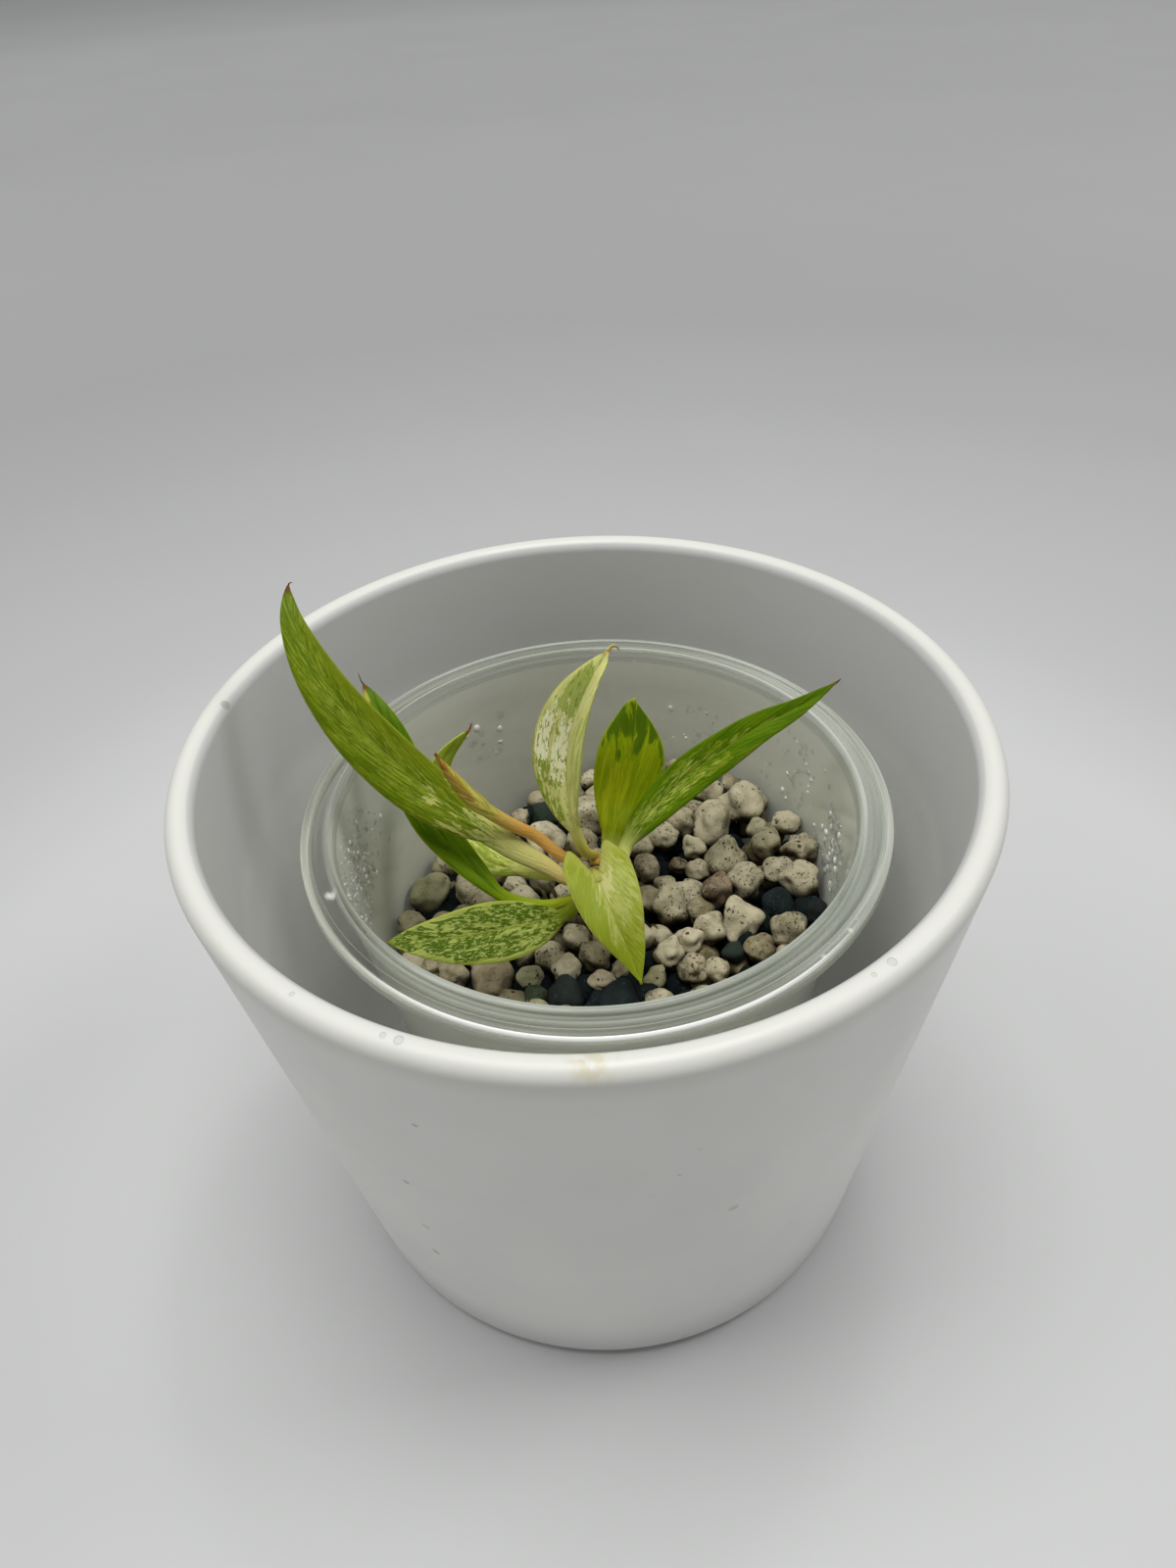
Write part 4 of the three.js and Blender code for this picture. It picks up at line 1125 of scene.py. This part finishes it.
def cross_row(leaf, curve, share, on_stalk, seed):
    """The upper and lower points across a leaf at a share of its midrib, and where they lie."""
    centre, along = at_share(curve, share)
    up = facing(leaf, share)
    up = unit(up - along * (up @ along))
    right = np.cross(along, up)
    back = -at_share(curve, leaf["stalk"] + FLAT_BY * (1 - leaf["stalk"]))[1]
    blade = (share - leaf["stalk"]) / (1 - leaf["stalk"])
    spread = -1 if on_stalk else blade
    grown = min(share / leaf["stalk"], 1)
    wide, thick = (a + (b - a) * grown for a, b in zip(*leaf["ends"]))
    lobed = "lobe" in leaf
    furled = leaf.get("furled", False)
    opened = 0 if on_stalk else 1 if lobed else bounded(spread / OPENS_BY)
    opened *= bounded((1 - spread) / FADES_OVER)
    flat = 0 if on_stalk else 1 if lobed else bounded(spread / FLAT_BY)
    narrowest = EDGE_THICKNESS if spread > 0.5 else wide / 2
    steep = math.hypot(1, leaf["veins"])
    upper, lower, places, veins = [], [], [], []
    for j in range(-HALF_STEPS, HALF_STEPS + 1):
        side, sign = (0, -1) if j < 0 else (1, 1)
        u = (abs(j) / HALF_STEPS) ** CROWDING
        half = wide / 2 if on_stalk else max(leaf["half"][side] * outline(leaf, blade, side), narrowest)
        sweep = 0
        if lobed and not on_stalk:
            fade = max(1 - blade / LOBE_ENDS, 0) ** LOBE_FADE
            sweep = leaf["lobe"][side] * fade * math.sin(LOBE_SWELL * math.pi * u) ** 2
        rib, edge = (math.radians(degrees) * opened for degrees in leaf["fold"][side])
        angle, out, lift = bent(half, u, rib, edge)
        at = centre + right * sign * out + up * lift + back * sweep
        normal = up if j == 0 else up * math.cos(angle) - right * sign * math.sin(angle)
        full = FURL_THICKNESS * half if furled and spread > 0 else thick
        rounded = full * math.sqrt(1 - STALK_ROUND * u * u)
        skin = BLADE_THICKNESS + (EDGE_THICKNESS - BLADE_THICKNESS) * u**2
        depth = rounded if furled else rounded + (skin - rounded) * flat
        reach = max(depth, EDGE_THICKNESS) / 2
        ridge = flat * (1 - max(spread, 0)) ** 0.5 * math.exp(-((half * u / FURROW_WIDTH) ** 2))
        wave = WAVE_HEIGHT * flat * u * noise.noise(Vector(at / WAVE_LENGTH + seed))
        upper.append(at + normal * (reach + wave - FURROW_DEPTH * ridge))
        lower.append(at - normal * (reach - wave + RIB_HEIGHT * ridge))
        lies = min(blade, -0.05) if on_stalk and lobed else blade
        places.append((sign * u, lies, seed))
        start = (share * curve[1][-1] - leaf["veins"] * half * u - sweep) / steep
        veins.append((start, start * leaf["veins"] + half * u * steep, seed * 17 + side * 5))
    return upper, lower, places * 2, veins * 2


def strip_faces(rows, wide, first):
    """The faces of a closed strip whose rows hold their upper and then their lower points."""
    faces = []

    def at(i, j, low=False):
        return first + (i * 2 + low) * wide + j

    for i in range(rows - 1):
        for j in range(wide - 1):
            faces.append((at(i, j), at(i, j + 1), at(i + 1, j + 1), at(i + 1, j)))
            faces.append((at(i, j, 1), at(i + 1, j, 1), at(i + 1, j + 1, 1), at(i, j + 1, 1)))
        k = wide - 1
        faces.append((at(i, 0), at(i + 1, 0), at(i + 1, 0, 1), at(i, 0, 1)))
        faces.append((at(i, k), at(i, k, 1), at(i + 1, k, 1), at(i + 1, k)))
    end = rows - 1
    for j in range(wide - 1):
        faces.append((at(0, j), at(0, j, 1), at(0, j + 1, 1), at(0, j + 1)))
        faces.append((at(end, j), at(end, j + 1), at(end, j + 1, 1), at(end, j, 1)))
    return faces


def leaf_piece(name, look, seed):
    """One leaf with its stalk, closed, and any dry hair that its tip ends in."""
    leaf = LEAVES[name]
    curve = smooth_curve(leaf["spine"])
    stalk = leaf["stalk"]
    wide = 2 * HALF_STEPS + 1
    stems = [(stalk * i / STALK_STEPS, True) for i in range(STALK_STEPS)]
    blade = [(min(stalk + (1 - stalk) * i / BLADE_STEPS, 1), False) for i in range(BLADE_STEPS + 1)]
    under = [(stalk, True), (stalk + (1 - stalk) * UNDER_BLADE, True)]
    strips = [stems + under, blade] if "lobe" in leaf else [stems + blade]
    points, faces, place_marks, vein_marks = [], [], [], []
    for strip in strips:
        faces += strip_faces(len(strip), wide, len(points))
        for share, on_stalk in strip:
            upper, lower, places, veins = cross_row(leaf, curve, share, on_stalk, seed)
            points += upper + lower
            place_marks += places
            vein_marks += veins
    if "hair" in leaf:
        path, _ = smooth_curve([leaf["spine"][-1], *leaf["hair"]], 5)
        radii = np.linspace(leaf.get("hair_radius", HAIR_RADIUS), HAIR_END, len(path))
        hair_points, hair_faces = tube(path, radii, 8, HAIR_DEPTH)
        faces += [tuple(len(points) + i for i in face) for face in hair_faces]
        points += hair_points
        place_marks += [(0.5, 1.0, seed)] * len(hair_points)
        vein_marks += [(0.0, 0.5, seed * 17)] * len(hair_points)
    marks = {"place": place_marks, "vein": vein_marks}
    mesh_piece(name + "_blade", points, faces, look, [name], marks)


# Each leaf's slot, how soft its streaks are, and its tones and layers, as leaf_look takes them.
ALL_ALONG, ALL_ACROSS = (-0.2, 1.2), (-1.3, 1.3)
LEAF_LOOKS = {
    "leaf_long_left": ("leaf_green", 0.04, [
        (84, 104, 6), (106, 122, 17), (136, 146, 44), (128, 138, 35), (182, 180, 108), (204, 164, 104),
        (92, 62, 20),
    ], [
        ((126, 140, 36), (0.16, 2), 0.4, 0.6, ALL_ALONG, (-0.85, 0.7)),
        ((148, 156, 66), (0.1, 1.4), 0.3, 0.5, (-0.1, 0.8), (-0.7, 0.5)),
        ((64, 90, 0), (0.2, 1.2), 0.36, 0.55, ALL_ALONG, ALL_ACROSS),
        ((108, 116, 16), (0.5, 6), 0.85, 0.5, (0.1, 1.0), (0.45, 1.3)),
        ((178, 180, 104), (0.25, 1.6), 0.65, 0.8, (-0.1, 0.24), ALL_ACROSS),
    ]),
    "leaf_furled": ("leaf_bronze", 0.015, [
        (150, 136, 50), (170, 160, 67), (170, 160, 70), (160, 124, 53), (188, 160, 80), (198, 152, 78),
        (110, 62, 32),
    ], [
        ((190, 186, 98), (0.3, 4), 0.5, 0.8, (0.0, 0.75), (-1.2, 0.5)),
        ((150, 104, 45), (0.3, 5), 0.4, 0.7, (0.35, 1.0), ALL_ACROSS),
        ((128, 72, 38), (0.4, 3), 0.9, 0.8, (0.84, 1.2), ALL_ACROSS),
    ]),
    "leaf_dark_left": ("leaf_dark", 0.015, [
        (67, 96, 1), (86, 114, 3), (100, 122, 12), (131, 145, 30), (124, 141, 20), (143, 143, 34),
        (98, 71, 28),
    ], [
        ((98, 124, 6), (0.4, 7), 0.55, 0.6, (-0.1, 0.45), ALL_ACROSS),
        ((170, 160, 66), (0.8, 2), 0.8, 0.8, (0.968, 1.1), (-1.2, -0.2)),
    ]),
    "leaf_mottled": ("leaf_green", 0.015, [
        (120, 132, 52), (138, 148, 72), (144, 153, 61), (148, 155, 60), (110, 121, 25), (135, 126, 45),
        (106, 113, 25),
    ], [
        ((60, 80, 0), (0.42, 1.4), 0.62, 0.95, (-0.1, 1.1), (-0.92, 0.92)),
        ((58, 80, 0), (0.6, 1.5), 0.7, 0.9, (0.02, 0.45), (0.2, 0.9)),
        ((58, 80, 0), (0.55, 1.4), 0.62, 0.9, (0.5, 0.95), (-0.88, 0.0)),
        ((146, 156, 84), (0.13, 0.5), 0.3, 0.85, ALL_ALONG, (-0.9, 0.85)),
    ]),
    "leaf_back_left": ("leaf_cream", 0.015, [
        (136, 156, 38), (158, 173, 59), (184, 188, 95), (171, 179, 78), (190, 192, 105), (197, 190, 102),
        (134, 86, 48),
    ], [
        ((199, 201, 119), (0.3, 2.4), 0.55, 0.85, (-0.1, 0.6), ALL_ACROSS),
        ((119, 143, 26), (0.22, 1.2), 0.3, 0.8, (-0.1, 0.6), ALL_ACROSS),
    ]),
    "leaf_cream": ("leaf_cream", 0.015, [
        (178, 177, 108), (198, 196, 126), (190, 188, 109), (160, 165, 82), (183, 177, 87), (185, 144, 68),
        (181, 165, 99),
    ], [
        ((226, 222, 184), (0.7, 2.5), 0.62, 0.9, (0.3, 0.68), (-0.95, 0.1)),
        ((180, 181, 118), (0.25, 6), 0.5, 0.8, ALL_ALONG, (0.1, 1.3)),
        ((148, 160, 66), (0.2, 3), 0.42, 0.75, (0.0, 0.75), (-0.1, 1.1)),
        ((124, 140, 40), (0.26, 0.8), 0.24, 0.95, (0.04, 0.7), (-1.2, 0.1)),
        ((120, 138, 36), (0.3, 0.9), 0.5, 0.9, (0.0, 0.45), (-1.2, -0.35)),
        ((146, 158, 76), (0.5, 1.4), 0.93, 0.9, (0.64, 0.96), (-0.85, 0.1)),
        ((114, 134, 40), (0.22, 0.7), 0.32, 0.75, (0.66, 0.95), (-0.9, 0.2)),
    ]),
    "leaf_broad_back": ("leaf_dark", 0.08, [
        (101, 117, 0), (119, 135, 3), (126, 140, 8), (128, 142, 14), (176, 184, 86), (172, 172, 46),
        (135, 138, 36),
    ], [
        ((142, 148, 12), (0.8, 7), 0.62, 0.7, (0.0, 0.66), (-1.3, 0.3)),
        ((105, 119, 0), (0.3, 4), 0.45, 0.6, (0.0, 0.75), ALL_ACROSS),
        # Painted shade: the top third, which folds back, is darker.
        ((50, 77, 0), (0.3, 5), 0.9, 0.85, (0.64, 1.1), ALL_ACROSS),
        ((172, 178, 54), (0.2, 1.2), 0.4, 0.7, (0.2, 0.34), (-0.1, 0.5)),
    ]),
    "leaf_right": ("leaf_green", 0.025, [
        (70, 100, 0), (88, 116, 4), (150, 164, 50), (92, 116, 11), (190, 194, 110), (160, 160, 51),
        (96, 92, 22),
    ], [
        ((124, 142, 28), (0.35, 3), 0.62, 0.7, (-0.1, 0.6), (-0.75, 0.75)),
        ((166, 176, 84), (0.13, 1.4), 0.45, 0.7, (-0.1, 0.56), (-0.6, 0.6)),
        ((70, 98, 0), (0.15, 1.0), 0.34, 0.7, (0.0, 0.65), (-0.8, 0.8)),
        ((150, 164, 60), (0.16, 5), 0.35, 0.7, (0.4, 0.88), (-0.22, 0.2)),
        ((120, 100, 44), (0.5, 8), 0.9, 0.5, (0.2, 1.2), (0.94, 1.3)),
    ]),
    "leaf_heart": ("leaf_green", 0.03, [
        (124, 134, 38), (137, 144, 53), (146, 150, 68), (151, 156, 74), (146, 146, 69), (140, 122, 52),
        (119, 122, 35),
    ], [
        ((158, 161, 92), (0.35, 1.6), 0.65, 0.6, (-0.1, 0.6), (-1.3, 0.5)),
        ((112, 126, 32), (0.14, 1.0), 0.34, 0.6, (-0.1, 0.6), (-1.3, 0.5)),
        ((173, 169, 114), (0.6, 2), 0.75, 0.8, (-0.1, 0.3), (-0.45, 0.15)),
        ((114, 128, 24), (0.5, 2), 0.8, 0.7, (0.05, 1.1), (0.2, 1.3)),
        ((113, 128, 18), (0.6, 2), 0.8, 0.7, (0.6, 1.1), ALL_ACROSS),
    ]),
}


def leaves():
    """The nine leaves, each with its own colours and variegation."""
    for seed, (name, (slot, soft, tones, layers)) in enumerate(LEAF_LOOKS.items(), 1):
        leaf_piece(name, leaf_look(name.replace("_", " "), tones, layers, soft), seed)


# The crown, and how high and fine its unevenness is.
CROWN_WAVES = (0.18, 0.6)


def crown():
    """A short stem that swells to a round head, a little uneven."""
    ring = (140, 112, 60)
    tones = [(104, 82, 34), (128, 104, 48), ring, ring, ring, (130, 96, 48), (92, 62, 30)]
    patches = [((150, 136, 80), (0.5, 3), 0.4, 0.8, ALL_ALONG, ALL_ACROSS)]
    look = leaf_look("crown", tones, patches, rough=0.5)
    z, radius, stem, bottom, neck = (CROWN[k] for k in ("z", "radius", "stem", "bottom", "neck"))
    profile = [
        (0, bottom),
        (stem - GAP, bottom),
        (stem, bottom + GAP),
        (stem, z - radius - neck),
        *arc(0, z, radius, -math.pi / 4, math.pi / 2, 16)[:-1],
        (0, z + radius),
    ]
    points, faces = turned(profile, 40, (CROWN["x"], CROWN["y"]))
    middle = np.array([CROWN["x"], CROWN["y"], CROWN["z"]])
    points = [np.array(p) for p in points]
    height, fineness = CROWN_WAVES
    points = [p + unit(p - middle) * height * noise.noise(Vector(p * fineness)) for p in points]
    marks = {
        "place": [(0.5, 0.5, 11)] * len(points),
        "vein": [(p[0] * 2 + p[1] * 2, p[2], 3) for p in points],
    }
    mesh_piece("crown_head", points, faces, look, ["crown"], marks)


# Thin dry scraps of old sheaths: how thick they are for their width, and each one's spine and
# greatest half width.
SCRAP_DEPTH = 0.22
SCRAPS = [
    ([(-4.9, 0.6, 50.4), (-5.4, 1.2, 51.8), (-5.9, 1.6, 53.2)], 0.7),
    ([(-6.3, 1.0, 50), (-6.8, 1.8, 51), (-7.6, 2.3, 51.6)], 0.6),
    ([(-3.4, 1.6, 57.6), (-2.9, 2.2, 58.9), (-2.7, 2.4, 60)], 0.5),
    ([(7.6, -3.9, 48.8), (8.4, -5.3, 49.6), (9.0, -7.0, 49.4)], 0.7),
]


def sheath_scraps():
    """Dry scraps that lie among the stalks and on the grains."""
    look = Look("dry sheath", Roughness=0.7)
    place = look.place()
    streaks = look.noise(look.stretched(place, 1, 1, 0.3), 1500, 4)
    look.paint(look.mixed(look.step(streaks, 0.35, 0.65), srgb(70, 66, 30), srgb(148, 142, 74)))
    look.bump(streaks, 0.1)
    points, faces = [], []
    for spine, half in SCRAPS:
        path, lengths = smooth_curve(spine, 6)
        widths = half * np.sin(math.pi * (0.12 + 0.86 * lengths / lengths[-1]))
        made, own = tube(path, widths, 10, SCRAP_DEPTH)
        faces += [tuple(len(points) + i for i in face) for face in own]
        points += made
    mesh_piece("sheath_scraps", points, faces, look.material)


# Water drops on the inside of the cup: the middle angle and its spread in degrees, the lowest
# and highest place, how many, and the largest radius.
DROP_FIELDS = [
    (192, 18, 53, 66, 620, 0.18),
    (175, 14, 54, 64, 160, 0.38),
    (118, 9, 55, 62, 22, 0.5),
    (58, 14, 54, 62, 34, 0.45),
    (22, 12, 54, 65, 70, 0.4),
    (0, 10, 53, 62, 130, 0.6),
    (-28, 10, 54, 62, 40, 0.35),
    (300, 60, 54, 66, 60, 0.25),
]

# A few drops on the cover pot's rim, by angle in degrees and radius.
RIM_DROPS = [(-54, 0.5), (-57, 0.3), (-113, 0.5), (-115, 0.35), (-128, 0.3)]

# A drop's depth as a share of its width, the radius up to which it has fewer faces, and how far
# its middle lies inside the cup's wall or below the rim's top.
DROP_DEPTH = 0.5
SMALL_DROP = 0.2
DROP_INSET = 0.02


def bead(points, faces, centre, out, up, size, stretch=1.0):
    """Adds one flat round drop that bulges outwards, and tells how many points it has."""
    shape, triangles = SPHERES[2 if size > SMALL_DROP else 1]
    side = np.cross(up, out)
    first = len(points)
    for x, y, w in shape:
        points.append(centre + size * (out * x * DROP_DEPTH + side * y + up * w * stretch))
    faces += [tuple(first + i for i in face) for face in triangles]
    return len(shape)


def water_drops():
    """Flat round beads of condensation on the cup's inner wall, and a few on the pot's rim."""
    random = np.random.default_rng(SEED + 9)
    points, faces, tones = [], [], []
    upright = np.array([0, 0, 1])
    for middle, spread, low, high, count, largest in DROP_FIELDS:
        for _ in range(count):
            angle = math.radians(random.normal(middle, spread / 2))
            z = random.uniform(low, high)
            size = largest * random.uniform(0.3, 1.0) ** 1.6
            inward = -np.array([math.cos(angle), math.sin(angle), 0])
            centre = np.array([CUP_X, 0, z]) - inward * (cup_radius(z) - DROP_INSET)
            stretch = random.uniform(0.8, 1.4)
            made = bead(points, faces, centre, inward, upright, size, stretch)
            # Each drop's tone: drops of high tone become painted glints.
            tones += [(random.uniform(), 0, 0)] * made
    for degrees, size in RIM_DROPS:
        angle = math.radians(degrees)
        out = np.array([math.cos(angle), math.sin(angle), 0])
        centre = out * (RIM_RADIUS - RIM_ROUND) + upright * (POT_HEIGHT - DROP_INSET)
        tones += [(0.4, 0, 0)] * bead(points, faces, centre, upright, out, size)
    marks = {"drop": tones}
    mesh_piece("water_drops", points, faces, drop_look(), marks=marks)


# The studio, in metres. Its lamps are aimed at the plant.
PLANT = (0, 0, 0.05)

# The floor's greys by distance from the pot's middle, painted light and shade, lighter near the pot
# and far off and darker between; the span that they are laid out over, and half the floor's width.
FLOOR_LIGHT_TONES = [
    (0.045, 214), (0.062, 213), (0.078, 210), (0.098, 207), (0.127, 206), (0.17, 191), (0.3, 175),
    (0.38, 171), (0.83, 200), (1.2, 232),
]
FLOOR_REACH = 1.3
FLOOR_HALF = 6.0

# The light all round, and each lamp's name, place, size and power in watts.
SKY_COLOUR = (0.985, 0.995, 1.0)
SKY_STRENGTH = 0.21
SOFT_LIGHTS = [
    ("overhead", (0.0, 0.05, 1.2), 0.7, 7.6),
    ("left", (-0.7, 0.0, 1.1), 0.6, 3.2),
    ("right", (0.8, 0.1, 0.9), 0.4, 2.7),
    ("ceiling lamp", (0.2, 0.3, 1.2), 0.1, 0.6),
]


def studio():
    """A pale floor with painted light and shade, and soft light from above."""
    look = Look("pale paper floor", Roughness=0.8)
    place = look.place()
    distance = look.node("VectorMath", place, operation="LENGTH").outputs["Value"]
    tones = [(far / FLOOR_REACH, srgb(tone, tone + 1, tone)) for far, tone in FLOOR_LIGHT_TONES]
    # Painted light and shade: the floor's grey changes with the distance from the pot.
    paper = look.ramp(look.math("DIVIDE", distance, FLOOR_REACH), tones)
    cloud = look.noise(place, 12, 3)
    look.paint(paper)
    look.paint(srgb(150, 150, 150), look.step(cloud, 0.3, 0.7, 0.0, 0.04))
    look.bump(look.noise(place, 900, 3), 0.01)
    mesh = bpy.data.meshes.new("floor")
    corners = [(x * FLOOR_HALF, y * FLOOR_HALF, 0) for x, y in ((-1, -1), (1, -1), (1, 1), (-1, 1))]
    mesh.from_pydata(corners, [], [(0, 1, 2, 3)])
    mesh.materials.append(look.material)
    floor = bpy.data.objects.new("floor", mesh)
    bpy.context.scene.collection.objects.link(floor)

    world = bpy.data.worlds.new("studio")
    world.use_nodes = True
    background = world.node_tree.nodes["Background"]
    background.inputs["Color"].default_value = (*SKY_COLOUR, 1)
    background.inputs["Strength"].default_value = SKY_STRENGTH
    bpy.context.scene.world = world
    bpy.context.scene.view_settings.view_transform = "Standard"
    for light in SOFT_LIGHTS:
        soft_light(*light)


def soft_light(name, place, size, power):
    """A square area light that looks at the plant."""
    data = bpy.data.lights.new(name, "AREA")
    data.shape = "SQUARE"
    data.size = size
    data.energy = power
    light = bpy.data.objects.new(name, data)
    light.location = place
    light.rotation_euler = (Vector(PLANT) - Vector(place)).to_track_quat("-Z", "Y").to_euler()
    bpy.context.scene.collection.objects.link(light)


# The camera stands in front of the pot and looks down on it. Its place, lens and sensor are in
# millimetres.
CAMERA_AT = (0, -112.819, 168.026)
CAMERA_RIGHT = (0.9977668, -0.04516596, -0.04920816)
CAMERA_UP = (0.06675042, 0.6477182, 0.75895027)
CAMERA_FORWARD = (0.0024057, 0.76054005, -0.64928656)
LENS = 27
SENSOR = 36


def camera():
    """The photograph's viewpoint."""
    data = bpy.data.cameras.new("camera")
    data.lens = LENS
    data.sensor_width = SENSOR
    data.clip_start = 10 * MM
    view = bpy.data.objects.new("camera", data)
    turn = Matrix((CAMERA_RIGHT, CAMERA_UP, [-x for x in CAMERA_FORWARD])).transposed()
    view.matrix_world = Matrix.Translation(Vector(CAMERA_AT) * MM) @ turn.to_4x4()
    bpy.context.scene.collection.objects.link(view)
    bpy.context.scene.camera = view


camera()
studio()
cover_pot()
clear_cup()
growing_medium()
crown()
leaves()
sheath_scraps()
water_drops()
